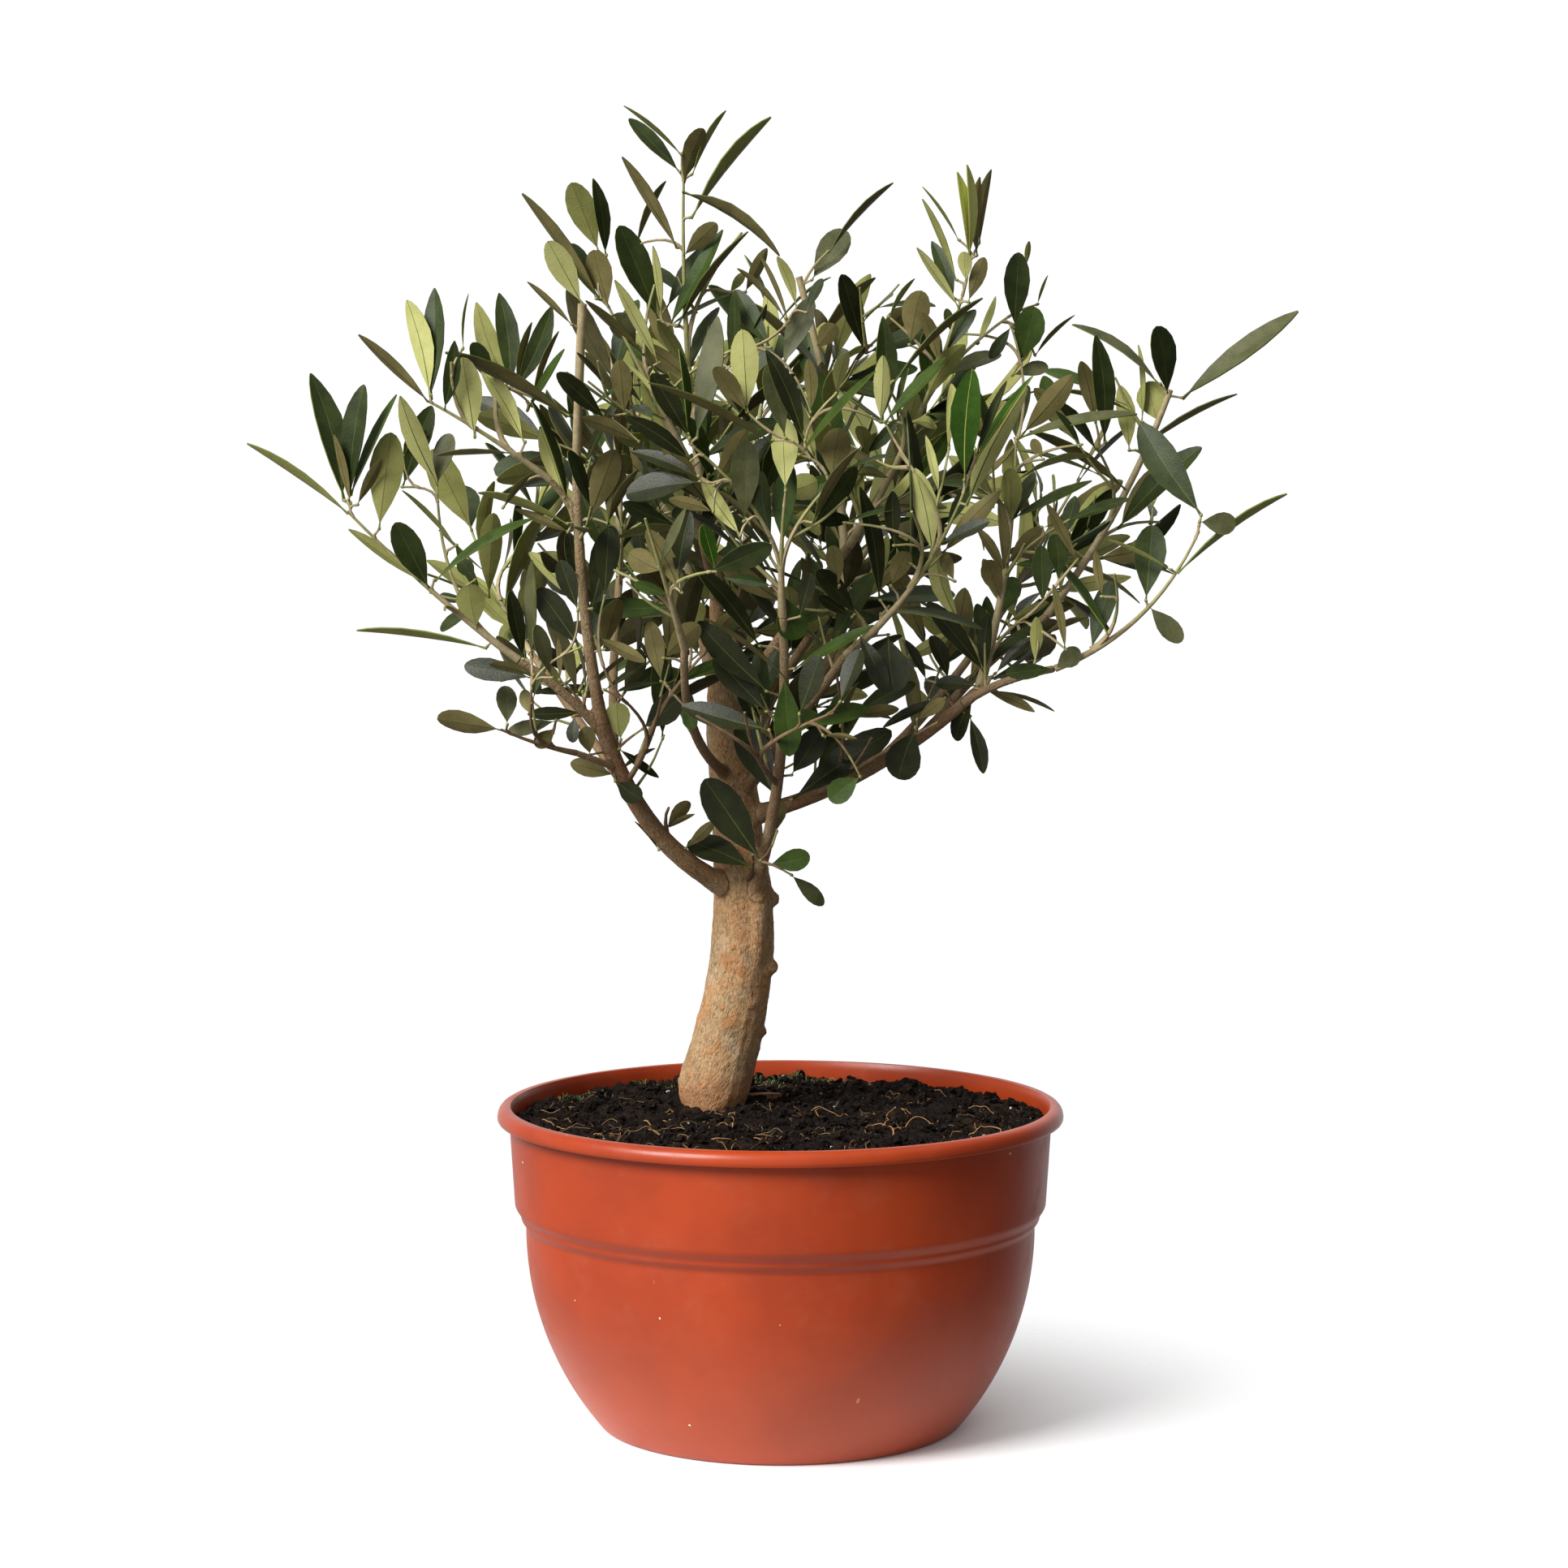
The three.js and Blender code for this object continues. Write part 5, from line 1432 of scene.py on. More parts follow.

# The leaves that the photograph shows plainly, read from it. A row gives where a leaf starts, where it
# ends and how wide it looks, all in the photograph's pixels, then its tone, and whether it bows.
deep, green, grey, dull, pale = "deep", "green", "grey", "dull", "pale"
bright, fresh, sage, bows = "bright", "fresh", "sage", True
shownLeaves = {"left_low_spray": [
    (428, 632, 305, 546, 6, sage), (425, 617, 383, 460, 34, deep), (432, 620, 412, 535, 14, dull),
    (436, 612, 448, 474, 34, deep), (431, 610, 488, 486, 14, green), (440, 622, 470, 566, 16, dull),
    (467, 652, 482, 533, 42, sage), (496, 600, 532, 500, 30, deep), (497, 562, 525, 531, 18, dull),
    (534, 595, 493, 488, 26, pale), (538, 597, 553, 534, 28, grey), (514, 718, 430, 652, 15, sage),
    (533, 720, 487, 644, 35, deep), (535, 715, 653, 640, 10, green, bows), (562, 672, 496, 604, 5, sage),
    (588, 777, 578, 720, 40, sage), (602, 735, 608, 632, 32, sage), (600, 797, 440, 776, 8, sage),
    (585, 715, 566, 690, 22, deep),
], "left_high_spray": [
    (526, 500, 442, 412, 18, dull), (531, 488, 502, 370, 30, pale), (533, 488, 535, 355, 28, deep),
    (585, 538, 570, 440, 36, pale), (647, 545, 593, 453, 26, pale), (630, 557, 537, 561, 8, dull),
    (626, 478, 587, 373, 25, sage), (630, 478, 615, 361, 26, deep), (637, 480, 655, 397, 12, dull),
    (637, 482, 680, 377, 25, deep), (545, 505, 560, 420, 20, deep), (570, 430, 577, 362, 5, sage),
    (605, 475, 582, 422, 26, deep), (650, 505, 695, 430, 12, green), (655, 500, 688, 408, 10, dull),
    (700, 512, 550, 434, 12, dull, bows), (700, 625, 655, 493, 16, deep), (700, 612, 667, 527, 28, pale),
    (700, 645, 590, 607, 18, sage, bows), (700, 655, 635, 627, 12, dull), (620, 625, 655, 583, 10, dull),
], "upper_left_spray": [
    (747, 315, 731, 220, 20, deep), (738, 310, 704, 225, 35, sage), (740, 368, 644, 238, 18, dull),
    (735, 368, 703, 300, 25, deep), (755, 375, 731, 308, 35, dull), (812, 447, 758, 345, 20, pale),
    (790, 435, 722, 370, 15, dull), (785, 425, 755, 388, 35, grey),
], "left_tall_spray": [
    (715, 372, 675, 297, 32, pale), (705, 400, 650, 347, 10, dull), (726, 640, 758, 554, 34, dull),
    (749, 645, 762, 556, 26, dull), (755, 645, 786, 578, 12, dull), (729, 750, 755, 648, 36, deep),
    (720, 575, 753, 500, 12, deep), (747, 517, 686, 460, 26, deep), (787, 544, 717, 515, 20, dull),
    (730, 500, 772, 473, 5, green, bows), (770, 510, 763, 443, 26, dull), (745, 800, 762, 738, 28, dull),
    (716, 740, 700, 655, 22, deep),
], "crown_top_spray": [
    (838, 212, 775, 146, 22, deep), (840, 190, 769, 130, 4, sage), (848, 222, 866, 158, 30, dull),
    (852, 215, 894, 136, 8, sage), (850, 268, 949, 144, 15, sage), (845, 237, 960, 314, 18, dull, bows),
    (835, 305, 767, 193, 18, dull), (783, 302, 820, 223, 10, dull), (842, 316, 883, 275, 22, dull),
    (812, 395, 763, 278, 40, deep), (815, 385, 805, 303, 12, pale), (822, 395, 890, 283, 22, green),
    (820, 380, 878, 300, 25, deep), (833, 402, 921, 285, 10, dull), (903, 457, 905, 357, 20, deep),
    (949, 428, 907, 357, 24, deep), (963, 452, 1000, 367, 30, grey), (982, 378, 958, 316, 16, pale),
    (972, 396, 935, 312, 8, dull), (968, 392, 909, 331, 9, dull, bows), (918, 360, 945, 306, 16, dull),
    (899, 361, 917, 336, 12, sage), (993, 385, 1013, 343, 14, deep), (824, 401, 904, 361, 6, green),
    (999, 508, 996, 442, 18, dull),
], "middle_right_spray": [
    (1000, 345, 1041, 283, 35, grey), (1020, 310, 1100, 225, 12, dull), (1062, 428, 1037, 338, 30, deep),
    (1003, 425, 1078, 342, 14, dull), (1010, 430, 1030, 400, 30, dull),
], "upper_right_spray": [
    (1195, 318, 1180, 212, 16, fresh), (1198, 318, 1192, 203, 14, fresh), (1203, 315, 1207, 218, 18, dull),
    (1206, 300, 1221, 209, 15, dull), (1182, 296, 1137, 230, 5, sage), (1179, 345, 1137, 245, 10, sage),
    (1176, 368, 1148, 297, 18, deep), (1178, 376, 1130, 305, 15, pale), (1190, 350, 1188, 310, 18, pale),
    (1193, 372, 1213, 317, 20, dull), (1250, 405, 1255, 311, 32, deep), (1264, 328, 1268, 297, 8, sage),
    (1278, 375, 1291, 339, 5, green), (1255, 448, 1275, 378, 38, green), (1275, 437, 1324, 388, 7, dull),
    (1248, 462, 1291, 450, 20, grey), (1100, 470, 1210, 367, 8, dull), (1121, 425, 1135, 358, 35, dull),
    (1095, 390, 1127, 343, 8, sage), (1152, 450, 1137, 385, 18, dull), (1088, 520, 1088, 390, 28, deep),
], "inner_right_spray": [
    (1188, 592, 1198, 455, 38, bright), (1190, 622, 1265, 478, 32, pale),
    (1200, 570, 1272, 463, 14, bright), (1203, 560, 1240, 470, 12, deep), (1147, 682, 1127, 577, 30, pale),
    (1123, 695, 1118, 505, 22, deep), (1090, 520, 1165, 440, 16, green), (1163, 673, 1219, 642, 20, deep),
    (1085, 740, 1060, 600, 26, deep), (1102, 672, 1100, 605, 20, deep),
    (1041, 644, 1108, 627, 5, green, bows), (1056, 756, 1005, 705, 30, deep),
    (1050, 760, 1008, 735, 16, deep), (1034, 722, 1025, 672, 24, dull), (1098, 722, 1118, 680, 24, dull),
    (1176, 716, 1160, 680, 18, dull),
], "front_spray": [
    (968, 605, 965, 515, 40, pale), (1008, 572, 975, 478, 20, pale), (985, 560, 1078, 457, 12, green),
    (1022, 590, 1035, 527, 38, dull), (1030, 485, 1043, 434, 22, pale), (1085, 520, 1088, 438, 22, pale),
    (847, 540, 772, 447, 9, pale), (852, 567, 771, 513, 22, deep), (861, 587, 777, 556, 18, deep),
    (863, 593, 771, 609, 40, deep), (912, 660, 864, 587, 20, pale), (952, 660, 885, 604, 10, dull),
    (880, 598, 920, 530, 25, dull), (917, 642, 919, 541, 36, grey), (968, 540, 946, 450, 30, grey),
    (992, 543, 944, 431, 26, deep), (952, 543, 800, 471, 13, dull), (858, 540, 884, 390, 32, grey),
    (850, 540, 803, 460, 30, deep), (848, 535, 837, 430, 14, green), (921, 508, 915, 406, 36, pale),
    (920, 508, 881, 452, 28, sage), (879, 630, 824, 615, 16, sage), (1000, 644, 1056, 553, 16, dull),
], "right_upright_spray": [
    (1260, 535, 1322, 462, 28, dull), (1255, 540, 1400, 510, 10, grey, bows),
    (1250, 590, 1343, 562, 18, sage, bows), (1250, 640, 1345, 592, 16, deep),
    (1285, 745, 1283, 672, 25, deep), (1305, 715, 1300, 658, 28, deep), (1327, 690, 1290, 620, 15, dull),
    (1313, 800, 1298, 720, 12, dull), (1236, 693, 1284, 650, 22, dull), (1284, 650, 1321, 643, 4, sage),
    (1231, 735, 1217, 690, 25, dull), (1242, 766, 1292, 742, 14, sage), (1275, 816, 1277, 760, 16, sage),
    (1285, 782, 1340, 760, 10, dull), (1246, 402, 1220, 442, 16, deep), (1174, 412, 1166, 380, 12, deep),
    (1285, 566, 1272, 541, 14, dull), (1332, 548, 1300, 506, 10, deep),
], "right_far_spray": [
    (1456, 490, 1599, 383, 28, grey), (1437, 485, 1425, 402, 35, deep),
    (1430, 473, 1322, 400, 18, grey, bows), (1425, 520, 1415, 470, 40, sage),
    (1408, 520, 1403, 425, 5, sage), (1362, 545, 1350, 413, 28, deep), (1350, 520, 1332, 445, 22, dull),
    (1392, 555, 1380, 475, 22, sage), (1400, 555, 1524, 485, 8, dull), (1373, 648, 1480, 551, 35, deep),
    (1385, 600, 1270, 531, 10, dull, bows),
], "right_low_spray": [
    (1480, 635, 1405, 522, 40, deep), (1478, 643, 1523, 645, 28, grey), (1450, 708, 1585, 608, 8, sage),
    (1412, 740, 1420, 647, 37, deep), (1443, 702, 1366, 665, 8, pale), (1415, 745, 1456, 791, 28, grey),
    (1345, 800, 1370, 716, 28, deep), (1365, 782, 1290, 680, 14, green), (1358, 735, 1350, 678, 12, dull),
    (1300, 820, 1330, 800, 24, grey), (1298, 822, 1240, 830, 20, deep),
], "left_skirt_spray": [
    (655, 835, 572, 820, 28, deep), (657, 832, 603, 818, 14, dull), (618, 898, 539, 886, 32, dull),
    (625, 893, 622, 845, 25, grey), (657, 880, 645, 850, 16, dull), (685, 888, 625, 903, 20, grey),
    (683, 897, 660, 920, 35, dull), (655, 810, 655, 690, 20, grey), (645, 812, 628, 728, 22, deep),
    (715, 798, 663, 725, 35, deep), (680, 835, 660, 770, 22, grey), (712, 752, 690, 690, 25, deep),
], "left_low_sprig": [
    (757, 955, 703, 940, 22, dull), (758, 962, 790, 985, 28, deep), (762, 950, 807, 922, 8, dull),
    (763, 923, 812, 958, 12, deep), (765, 912, 760, 866, 38, pale), (792, 898, 838, 858, 34, deep),
    (727, 930, 722, 895, 22, dull), (822, 1022, 850, 988, 20, dull), (822, 1022, 856, 1003, 8, dull),
    (812, 1047, 782, 1012, 5, grey), (845, 1045, 880, 1012, 14, dull), (718, 853, 660, 853, 12, deep),
    (716, 878, 650, 880, 18, deep), (708, 882, 706, 915, 16, deep), (690, 838, 688, 785, 9, dull),
], "left_inner_sprig": [
    (815, 840, 800, 765, 25, sage), (832, 748, 727, 750, 28, green), (733, 785, 795, 815, 18, dull),
    (745, 735, 750, 650, 30, deep), (745, 850, 795, 817, 10, deep), (820, 842, 930, 805, 18, green),
    (843, 870, 855, 898, 18, green), (814, 845, 760, 852, 8, deep),
], "low_sprig": [
    (937, 1060, 868, 960, 48, deep), (932, 1070, 848, 1037, 38, deep), (948, 1065, 998, 1055, 28, green),
    (975, 1078, 1015, 1115, 18, grey), (957, 1025, 958, 985, 38, dull), (935, 1125, 905, 1112, 18, dull),
], "middle_sprig": [
    (950, 980, 912, 890, 40, deep), (975, 985, 1098, 900, 45, deep), (1060, 957, 1022, 986, 32, green),
    (970, 833, 973, 932, 35, green), (948, 900, 840, 870, 30, deep), (983, 895, 1072, 873, 24, green),
    (945, 877, 880, 810, 32, deep), (985, 880, 1010, 808, 35, deep), (975, 955, 1010, 900, 35, deep),
    (1035, 865, 1060, 800, 30, deep), (937, 796, 855, 697, 26, deep), (945, 852, 860, 766, 34, deep),
    (972, 832, 868, 761, 10, dull), (966, 733, 983, 788, 40, green), (952, 722, 895, 712, 13, green),
    (978, 824, 1076, 770, 16, green), (985, 760, 1000, 706, 20, deep), (1014, 906, 1056, 910, 8, dull),
], "right_low_sprig": [
    (1128, 897, 1107, 960, 48, deep), (1165, 860, 1088, 896, 15, deep), (1205, 845, 1153, 842, 22, deep),
    (1200, 860, 1177, 912, 25, deep), (1195, 882, 1212, 953, 20, deep), (1215, 850, 1275, 877, 14, sage),
    (1220, 835, 1290, 825, 20, deep), (1095, 748, 1210, 775, 18, deep, bows),
    (1085, 757, 1145, 760, 8, pale, bows), (1094, 782, 1102, 852, 48, deep),
    (1058, 780, 1092, 855, 24, deep), (1142, 838, 1115, 788, 12, deep), (1130, 887, 1164, 861, 16, sage),
    (1169, 838, 1148, 783, 24, deep), (1213, 832, 1218, 755, 20, deep), (1226, 830, 1272, 785, 16, deep),
    (1226, 850, 1299, 876, 7, dull),
], "front_left_spray": [
    (812, 697, 845, 626, 14, grey), (812, 707, 775, 682, 38, dull), (836, 722, 850, 630, 26, deep),
    (840, 730, 797, 652, 26, sage), (830, 735, 781, 719, 16, green), (818, 811, 862, 770, 30, dull),
    (882, 704, 866, 646, 20, bright),
]}
picture = {"middle": 966, "focal": 4496}  # in its pixels
crownEdges = {  # round the whole crown and round its dense middle, in the photograph's pixels
    "outer": [
        (500, 560), (530, 470), (600, 400), (690, 330), (760, 270), (850, 230), (940, 300), (1040, 260),
        (1110, 270), (1180, 240), (1260, 320), (1340, 420), (1440, 420), (1480, 500), (1480, 600),
        (1450, 720), (1380, 770), (1300, 830), (1220, 880), (1130, 900), (1050, 930), (960, 930),
        (870, 880), (800, 900), (700, 900), (600, 880), (540, 800), (520, 700),
    ],
    "inner": [
        (655, 700), (650, 560), (690, 470), (730, 400), (780, 330), (850, 290), (930, 330), (1000, 330),
        (1080, 350), (1150, 350), (1200, 330), (1290, 400), (1330, 470), (1400, 520), (1440, 580),
        (1390, 660), (1370, 740), (1300, 800), (1230, 860), (1130, 880), (1050, 920), (960, 920),
        (870, 870), (800, 880), (720, 880), (620, 850), (600, 790), (620, 740),
    ],
}
undersides = {"sage": "deep", "pale": "pale", "dull": "dull"}  # tones that turn the underside to the camera
placing = {
    "touch": 7, "slideBack": 0.6, "depth": 0.3, "twigRadius": (0.85, 0.5), "lean": 24, "tries": 10,
    "kinds": [(0.4, "round"), (0.3, "broad"), (0.24, "common"), (0, "slim")], "mostRoll": 70, "bowedRoll": 62,
    "jitter": 9, "seed": 4409, "spacing": 2, "towardsCamera": 0.85, "bend": 0.45, "step": 4, "raise": 0.65,
    "widths": (0.85, 1.3), "clearRound": 6,
}


def pixelsOf(places):  # where the photograph shows some places
    turn = math.radians(view["down"])
    away = np.asarray(places)[:, :3] - view["place"]
    forward = away[:, 1] * math.cos(turn) - away[:, 2] * math.sin(turn)
    rise = away[:, 1] * math.sin(turn) + away[:, 2] * math.cos(turn)
    return picture["middle"] + picture["focal"] * np.column_stack([away[:, 0], -rise]) / forward[:, None]


def seenAt(x, y, depth):  # the place that the photograph shows at a pixel, at a depth
    turn = math.radians(view["down"])
    right, drop = (x - picture["middle"]) / picture["focal"], (y - picture["middle"]) / picture["focal"]
    way = np.array((right, math.cos(turn) - drop * math.sin(turn), -math.sin(turn) - drop * math.cos(turn)))
    return np.array(view["place"]) + way * (depth - view["place"][1]) / way[1]


def insideEdge(place, edge):  # whether the photograph would show a place inside an outline
    x, y = pixelsOf([place])[0]
    inside = False
    for (oneX, oneY), (otherX, otherY) in zip(edge, [*edge[1:], edge[0]]):
        if (oneY > y) != (otherY > y) and x < oneX + (otherX - oneX) * (y - oneY) / (otherY - oneY):
            inside = not inside
    return inside


def shownLeaf(crown, name, root, row, draw):
    tipX, tipY, wide, tone, *bow = row[2:]
    flat = seenAt(tipX, tipY, root[1])
    ratio = wide / math.dist(pixelsOf([root])[0], (tipX, tipY))
    kind = "bowed" if bow else next(kind for least, kind in placing["kinds"] if ratio >= least)
    natural = leafKinds[kind]["wide"]
    roll = placing["bowedRoll"] if bow else math.degrees(math.acos(min(1, ratio / natural)))
    roll = min(roll, placing["mostRoll"])
    least, most = placing["widths"]
    toCamera = unit(np.array(view["place"]) - root) * (-1 if tone in undersides else 1)
    for attempt in range(placing["tries"]):
        lean = math.radians(placing["lean"] * (2 * draw() - 1))
        tip = seenAt(tipX, tipY, root[1] + np.linalg.norm(flat - root) * math.tan(lean))
        length = np.linalg.norm(tip - root)
        way = unit(tip - root)
        turn = roll + placing["jitter"] * draw()
        faces = [spun(unit(flattened(toCamera, way)), way, side * turn) for side in (1, -1)]
        face = max(faces, key=lambda normal: normal[2])
        way = unit(tip + placing["raise"] * leafKinds[kind]["arch"] * length * face - root)
        leaf = {
            "root": root, "way": way, "face": unit(flattened(face, way)), "length": length, "spray": name,
            "kind": kind, "tone": undersides.get(tone, tone), "width": min(most, max(least, ratio / natural)),
        }
        if crown.apart(leaf) or attempt == placing["tries"] - 1:
            crown.keep(leaf)
            shown = (*pixelsOf([root])[0], tipX, tipY, wide + placing["clearRound"], root[1])
            crown.shown = np.vstack([crown.shown, shown])
            return


def growShownLeaves(crown):  # from the nearest wood outwards, each on a shoot or on a twig of its own
    for name, rows in shownLeaves.items():
        draw = seeded(placing["seed"] + sprays[name]["seed"])
        lines = [*shootsOf(sprays[name], finer["fineStep"]), fineLimbs[sprays[name]["on"]]]
        marks = []
        rest = list(rows)
        while rest:
            for line in lines[len(marks):]:
                reach = np.arange(0, lengthsOf(line)[-1], placing["spacing"])
                spots = np.array([along(line, distance)[0] for distance in reach])
                toCamera = unit(np.array(view["place"]) - spots[0, :3])
                places = spots[:, :3] + placing["towardsCamera"] * spots[:, 3:] * toCamera
                marks.append((places, pixelsOf(places), reach))
            found = []
            for index, row in enumerate(rest):
                for number, (places, pixels, reach) in enumerate(marks):
                    gaps = np.hypot(*(pixels - row[:2]).T)
                    found.append((gaps.min(), index, number, int(gaps.argmin())))
            gap, index, number, mark = min(found)
            row = rest.pop(index)
            places, _, reach = marks[number]
            root = places[mark]
            if gap > placing["touch"]:
                span = np.linalg.norm(seenAt(*row[:2], root[1]) - root)
                start, heading = along(lines[number], max(0.0, reach[mark] - placing["slideBack"] * span))
                root = seenAt(*row[:2], root[1] + span * placing["depth"] * (2 * draw() - 1))
                control = start[:3] + heading * placing["bend"] * np.linalg.norm(root - start[:3])
                twig = tapered(curved(start, control, root, placing["step"]), *placing["twigRadius"])
                lines.append(twig)
                crown.addTwig(twig, greenFrom["shownTwig"])
                crown.buds.append({"point": root, "heading": unit(twig[-1, :3] - twig[-2, :3])})
            shownLeaf(crown, name, root, row, draw)


def growCrown():
    crown = Crown()
    growShownLeaves(crown)
    for name, spray in sprays.items():
        growSpray(crown, name, spray)
    growOnBoughs(crown)
    return crown


crown = growCrown()
report(f"{len(crown.leaves)} leaves on {len(crown.twigs)} shoots and twigs")


# The leaves: a few modelled kinds, each a thin blade with a narrow rib, an edge and a short stalk

blade = {
    "rows": (0, 0.07, 0.22, 0.42, 0.62, 0.79, 0.91, 0.975, 1), "thickness": 0.01, "stalk": 0.08, "rib": 0.009,
    "ribTaper": 1.3, "footFullness": 0.72, "leastWidth": 0.014, "tipRib": 0.02, "lifted": 0.35, "clearBy": 2,
    "stalkDrop": 0.004, "stalkSwell": (1.25, 1, 1.3), "onRib": 0.006, "atFoot": 0.01, "facesBack": -0.9,
    "outerFrom": 0.3, "ribCorners": (0.1, 0.2), "sameRow": 1e-3, "level": 1e-4,  # to tell corners apart
}
ribZone, stalkZone, zoneCount = 3, 6, 7  # top, underside, rim, rib, rib's underside, rib's rim and stalk


def leafShape(wide, widest, tip, arch, fold, sway):
    rows, clearBy = blade["rows"], blade["clearBy"]
    count = len(rows) - 1
    leaf = begin(
        bpy.ops.mesh.primitive_grid_add, "leaf",
        x_subdivisions=3, y_subdivisions=count, size=1, location=(0, 0.5, 0),
    )
    power = math.log(0.5) / math.log(widest)

    def inRow(corner, y):
        return abs(corner.co.y - y) < blade["sameRow"]

    def isOuter(corner):
        return abs(corner.co.x) > blade["outerFrom"]

    def besideRib(corner):
        least, most = blade["ribCorners"]
        return abs(corner.co.z) < blade["level"] and least < abs(corner.co.x) < most

    for index, share in enumerate(rows):  # its outline and its fold
        y = index / count
        fullness = tip if share > widest else blade["footFullness"]
        width = wide * math.sin(math.pi * share ** power) ** fullness if 0 < share < 1 else 0
        width = max(width, blade["leastWidth"])
        rib = 3 * (blade["rib"] * (blade["ribTaper"] - share)) if 0 < share < 1 else blade["tipRib"]
        pick(lambda corner: inRow(corner, y) and isOuter(corner))
        bpy.ops.transform.resize(value=(width, 1, 1), center_override=(0, y, 0))
        bpy.ops.transform.translate(value=(0, 0, fold * max(width / 2 - 0.01, 0)))
        pick(lambda corner: inRow(corner, y) and besideRib(corner))
        bpy.ops.transform.resize(value=(rib, 1, 1), center_override=(0, y, 0))
    for index in range(count, -1, -1):  # its bend; the rows that are done are kept clear of the others
        y = index / count
        share = rows[index]
        pick(lambda corner: inRow(corner, y))
        bend = -arch * share ** 2 + blade["lifted"] * abs(arch) * share
        bpy.ops.transform.translate(value=(sway * math.sin(math.pi * share), clearBy + share - y, bend))
    bpy.ops.mesh.select_all(action="SELECT")
    bpy.ops.transform.translate(value=(0, -clearBy, 0))

    def onRib(face):
        middle = face.calc_center_median()
        return abs(middle.x - sway * math.sin(math.pi * middle.y)) < blade["onRib"]

    def atFoot(face):
        return face.normal.y < blade["facesBack"] and face.calc_center_median().y < blade["atFoot"]

    pick(onRib, "FACE")
    for _ in range(zoneCount):
        leaf.data.materials.append(None)
    leaf.active_material_index = ribZone
    bpy.ops.object.material_slot_assign()
    objectMode()
    thickness = blade["thickness"]
    applied(leaf, "SOLIDIFY", thickness=thickness, offset=-1, material_offset=1, material_offset_rim=2)
    bpy.ops.object.mode_set(mode="EDIT")
    pick(atFoot, "FACE")
    leaf.active_material_index = stalkZone
    back = (0, -blade["stalk"] / 2, -blade["stalkDrop"])
    for _ in range(2):
        bpy.ops.mesh.extrude_region_move(TRANSFORM_OT_translate={"value": back})
        bpy.ops.object.material_slot_assign()
        bpy.ops.transform.resize(value=blade["stalkSwell"])
    return shapeOf(leaf)


def budShape():
    bud = begin(bpy.ops.mesh.primitive_ico_sphere_add, "bud", subdivisions=1, radius=1)
    bpy.ops.transform.resize(value=twigs["budShape"])
    return shapeOf(bud)


def leafFinish(first, second, rough, shine):
    def describe(kit, place):
        cloud = kit.noise(place, 90, 3, 0.6)
        grain = kit.noise(place, 1500, 2, 0.6)
        return {
            "Base Color": kit.layered(first, (kit.mask(cloud * 0.7 + grain * 0.3, 0.35, 0.65), second)),
            "Roughness": rough + 0.12 * (grain - 0.5), "Specular IOR Level": shine, "IOR": 1.34,
            "Normal": kit.bump(grain * 0.6 + cloud, 0.35, 0.0006),
        }
    return describe


leafFinishes = {  # two close paints, roughness and shine
    "deepTop": ((37, 46, 19), (51, 61, 27), 0.4, 0.28),
    # a darker copy of deepTop: painted shade for the deep leaves on the shaded sprays
    "paintedShadeTop": ((30, 33, 16), (42, 46, 22), 0.35, 0.32),
    "greenTop": ((41, 57, 17), (56, 74, 25), 0.4, 0.28),
    # greyer tops: partly the leaves' own silvery scales, partly a painted sheen
    "greyAndSheenTop": ((66, 68, 40), (88, 88, 58), 0.5, 0.35),
    "sageUnder": ((126, 127, 70), (142, 142, 84), 0.68, 0.2),
    "paleUnder": ((160, 160, 96), (174, 173, 112), 0.7, 0.2),
    "dullUnder": ((97, 89, 53), (114, 105, 65), 0.68, 0.2),
    # a darker underside: painted shade
    "shadeUnder": ((60, 56, 33), (74, 69, 43), 0.6, 0.2),
    "freshLeaf": ((186, 190, 100), (200, 204, 120), 0.5, 0.3),
    "brightTop": ((33, 58, 8), (46, 76, 13), 0.42, 0.3),
    "leafEdge": ((92, 104, 40), (108, 120, 50), 0.55, 0.3),
    "leafRib": ((66, 76, 32), (80, 90, 40), 0.55, 0.3),
    "leafStalk": ((142, 144, 66), (156, 156, 78), 0.5, 0.3),
}
finishNames = list(leafFinishes)
tones = {  # what a leaf's zones wear: top, underside, edge, rib above, rib below, stalk
    "deep": ("deepTop", "sageUnder", "leafEdge", "leafRib", "dullUnder", "leafStalk"),
    # a deep leaf on a shaded spray, its top darkened: painted shade
    "low": ("paintedShadeTop", "dullUnder", "leafRib", "leafRib", "deepTop", "leafRib"),
    "green": ("greenTop", "sageUnder", "leafEdge", "leafRib", "dullUnder", "leafStalk"),
    "grey": ("greyAndSheenTop", "paleUnder", "leafEdge", "leafRib", "leafRib", "leafStalk"),
    "dull": ("deepTop", "dullUnder", "leafRib", "leafRib", "deepTop", "leafRib"),
    # dark undersides: painted shade
    "shade": ("deepTop", "shadeUnder", "leafRib", "leafRib", "deepTop", "leafRib"),
    "pale": ("greenTop", "paleUnder", "leafEdge", "leafRib", "leafRib", "leafStalk"),
    "bright": ("brightTop", "paleUnder", "leafStalk", "leafStalk", "leafEdge", "leafStalk"),
    "fresh": ("freshLeaf", "freshLeaf", "leafStalk", "leafStalk", "leafEdge", "leafStalk"),
}
toneDeals = {  # how many leaves in a deal wear each tone
    "high": {"deep": 7, "green": 6, "grey": 2, "pale": 2, "dull": 4, "shade": 3},
    # the deal for the shaded sprays, heavy in the darker tones: painted shade
    "low": {"deep": 3, "green": 4, "grey": 1, "dull": 5, "shade": 11},
}
kindDeal = {"slim": 3, "common": 6, "bowed": 3, "broad": 3, "back": 3}
leafPieces = {"leavesLeft": (-999, -60), "leavesMiddle": (-60, 50), "leavesRight": (50, 999)}  # of tips
leafWidths, leafSeed = (0.88, 0.26), 90001


def handOf(deal):  # a deal spread out, to draw from
    return [name for name, count in deal.items() for _ in range(count)]


def pieceOf(name):
    x = sprays[name]["tip"][0] if name else 0
    return next(piece for piece, (least, most) in leafPieces.items() if least <= x < most)


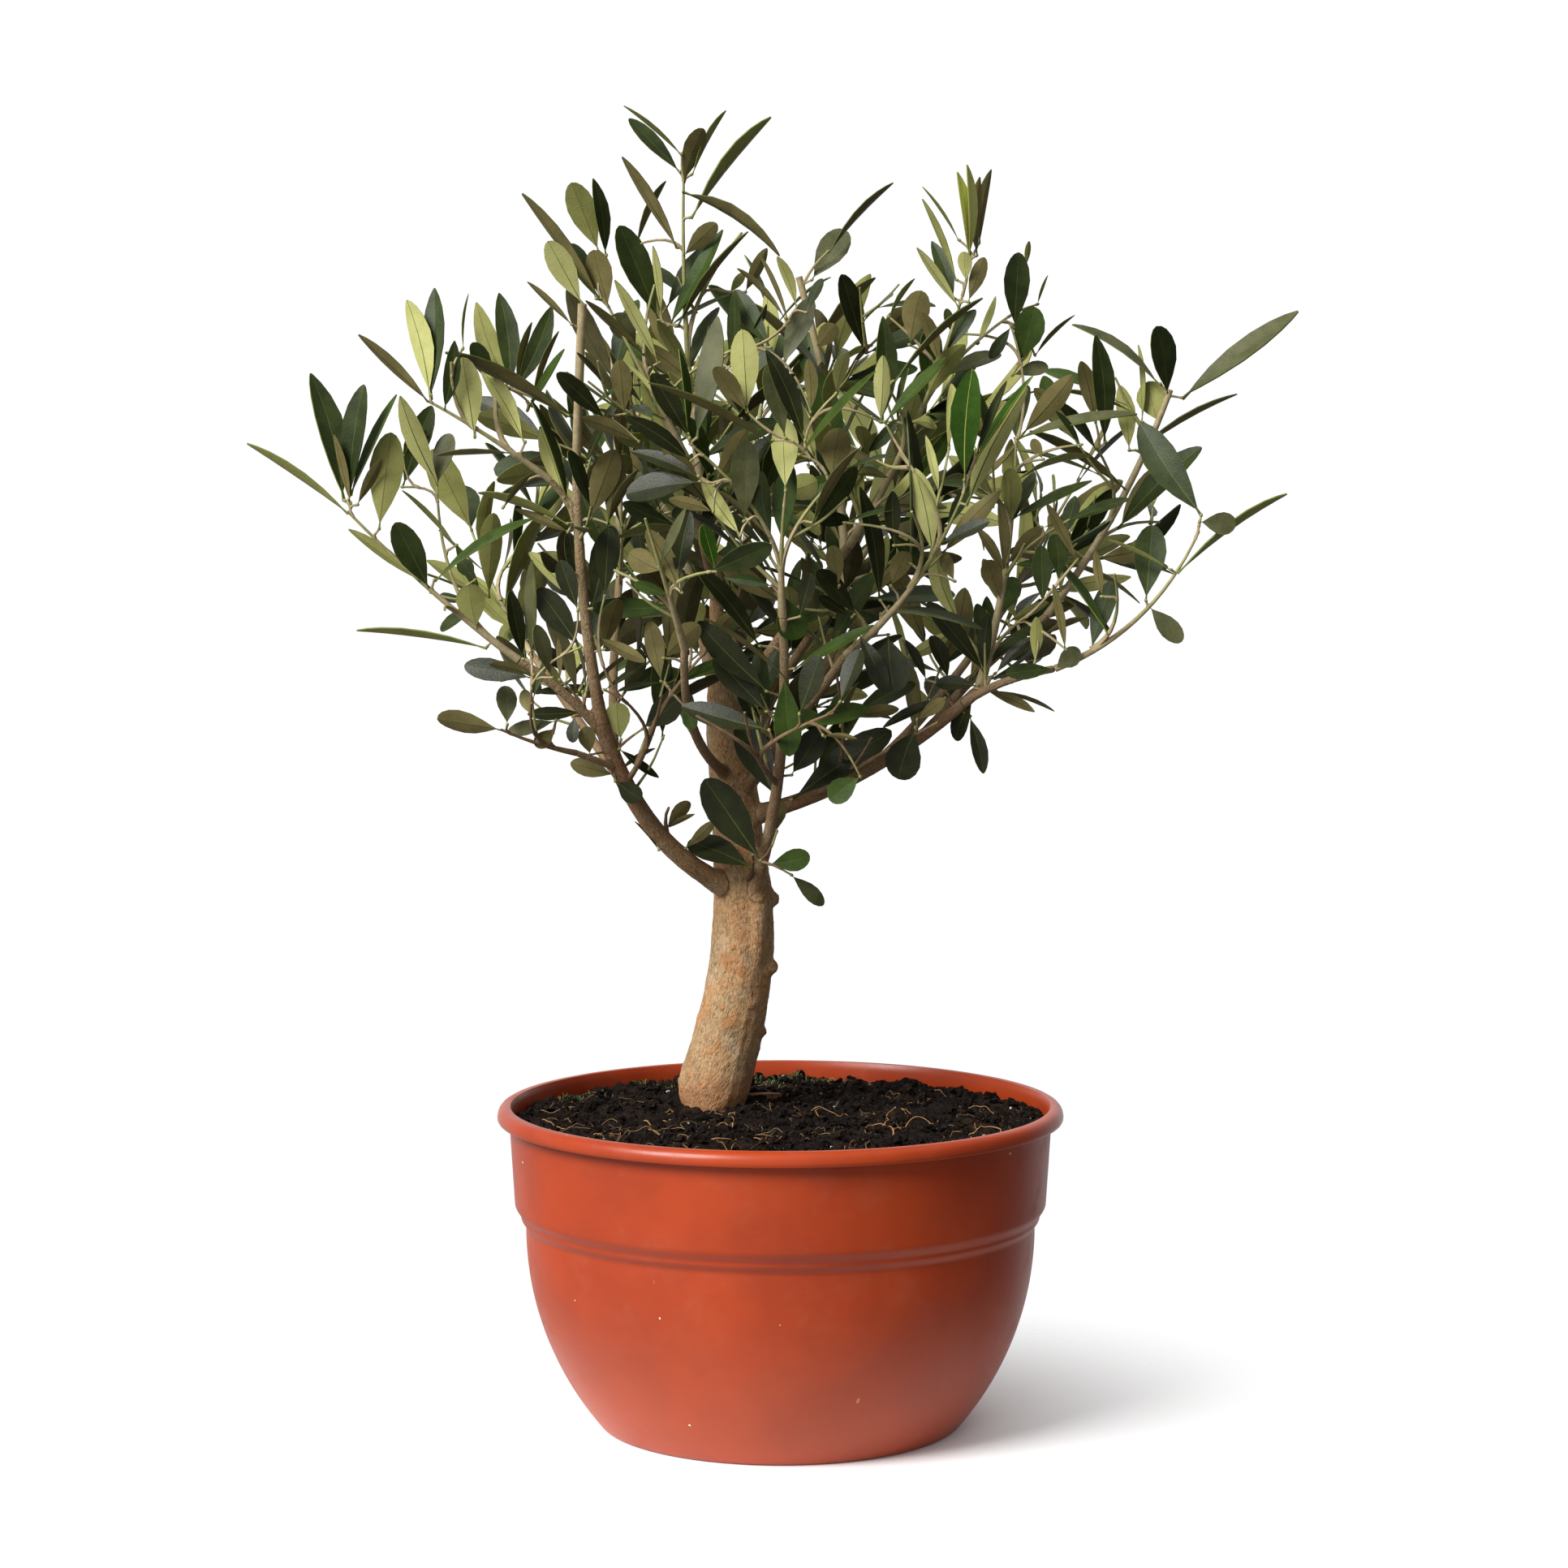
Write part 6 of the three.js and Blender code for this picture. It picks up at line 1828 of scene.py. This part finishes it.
def makeLeaves():
    shapes = {name: leafShape(**kind) for name, kind in leafKinds.items()}
    random = seeded(leafSeed)
    finishes = [newFinish(name, leafFinish(*leafFinishes[name])) for name in finishNames]
    bundles = {piece: Bundle() for piece in leafPieces}
    kinds, hands = handOf(kindDeal), {name: handOf(deal) for name, deal in toneDeals.items()}
    stalk = blade["stalk"]
    for leaf in crown.leaves:
        # leaves on the shaded sprays take the darker deal, and deep ones the darkened top: painted shade
        low = leaf["spray"] in paintedShadeSprays
        hand = hands["low" if low else "high"]
        kind = leaf.get("kind") or kinds[int(len(kinds) * random())]
        tone = leaf.get("tone") or hand[int(len(hand) * random())]
        width = leaf.get("width") or dealt(leafWidths, random())
        top, under, rim, rib, ribUnder, stem = tones["low" if low and tone == "deep" else tone]
        wear = (top, under, rim, rib, ribUnder, rim, stem)
        corners, faces, zones = shapes[kind]
        scaled = (corners + (0, stalk, 0)) * (width, 1 / (1 + stalk), 1)
        axes = np.array((np.cross(leaf["way"], leaf["face"]), leaf["way"], leaf["face"]))
        placed = (leaf["root"] + leaf["length"] * scaled @ axes) * mm
        bundles[pieceOf(leaf["spray"])].add(placed, faces, [finishNames.index(wear[zone]) for zone in zones])
    for piece, bundle in bundles.items():
        nodes = [name for name in sprays if pieceOf(name) == piece]
        dressed(bundle.piece(piece, finishes, 50), "foliage", *nodes)


twigFinishes = {  # two close paints, the size of their patches and roughness
    "youngBark": ((168, 152, 114), (146, 130, 94), 260, 0.7),
    "greenShoot": ((150, 146, 90), (130, 128, 78), 200, 0.6),
    "leafNode": ((140, 140, 78), (122, 122, 66), 200, 0.6),
    "brownTwig": ((120, 96, 66), (98, 76, 50), 260, 0.7),
}
twigs = {
    "brownBelow": 350, "thick": 1.8, "thickSides": 8, "sides": 6,
    "bud": 0.85, "budShape": (1, 1, 1.5), "budAside": (0.3, 0.2, 0.93),
}


def makeTwigs():
    bundle = Bundle()
    young, fresh, joint, brown = range(len(twigFinishes))
    for twig in crown.twigs:
        _, _, height, radius = twig["line"][0]
        sides = twigs["thickSides" if radius > twigs["thick"] else "sides"]
        count = len(twig["line"]) - 1
        shares = [0, *(ring / count for ring in range(count) for _ in range(sides)), 1]
        wood = brown if height < twigs["brownBelow"] else young
        wear = [wood if share < twig["green"] else fresh for share in shares]
        bundle.add(*tube(twig["line"], sides), wear)
    bud, faces, _ = budShape()
    for node in crown.buds:
        across = unit(np.cross(node["heading"], twigs["budAside"]))
        axes = np.array((across, np.cross(node["heading"], across), node["heading"]))
        bundle.add((node["point"] + twigs["bud"] * bud @ axes) * mm, faces, joint)
    return bundle.piece("shoots", [mottledFinish(name, *look) for name, look in twigFinishes.items()], 60)


dressed(makeTwigs(), "bark", *sprays)
makeLeaves()
report("shoots and leaves")
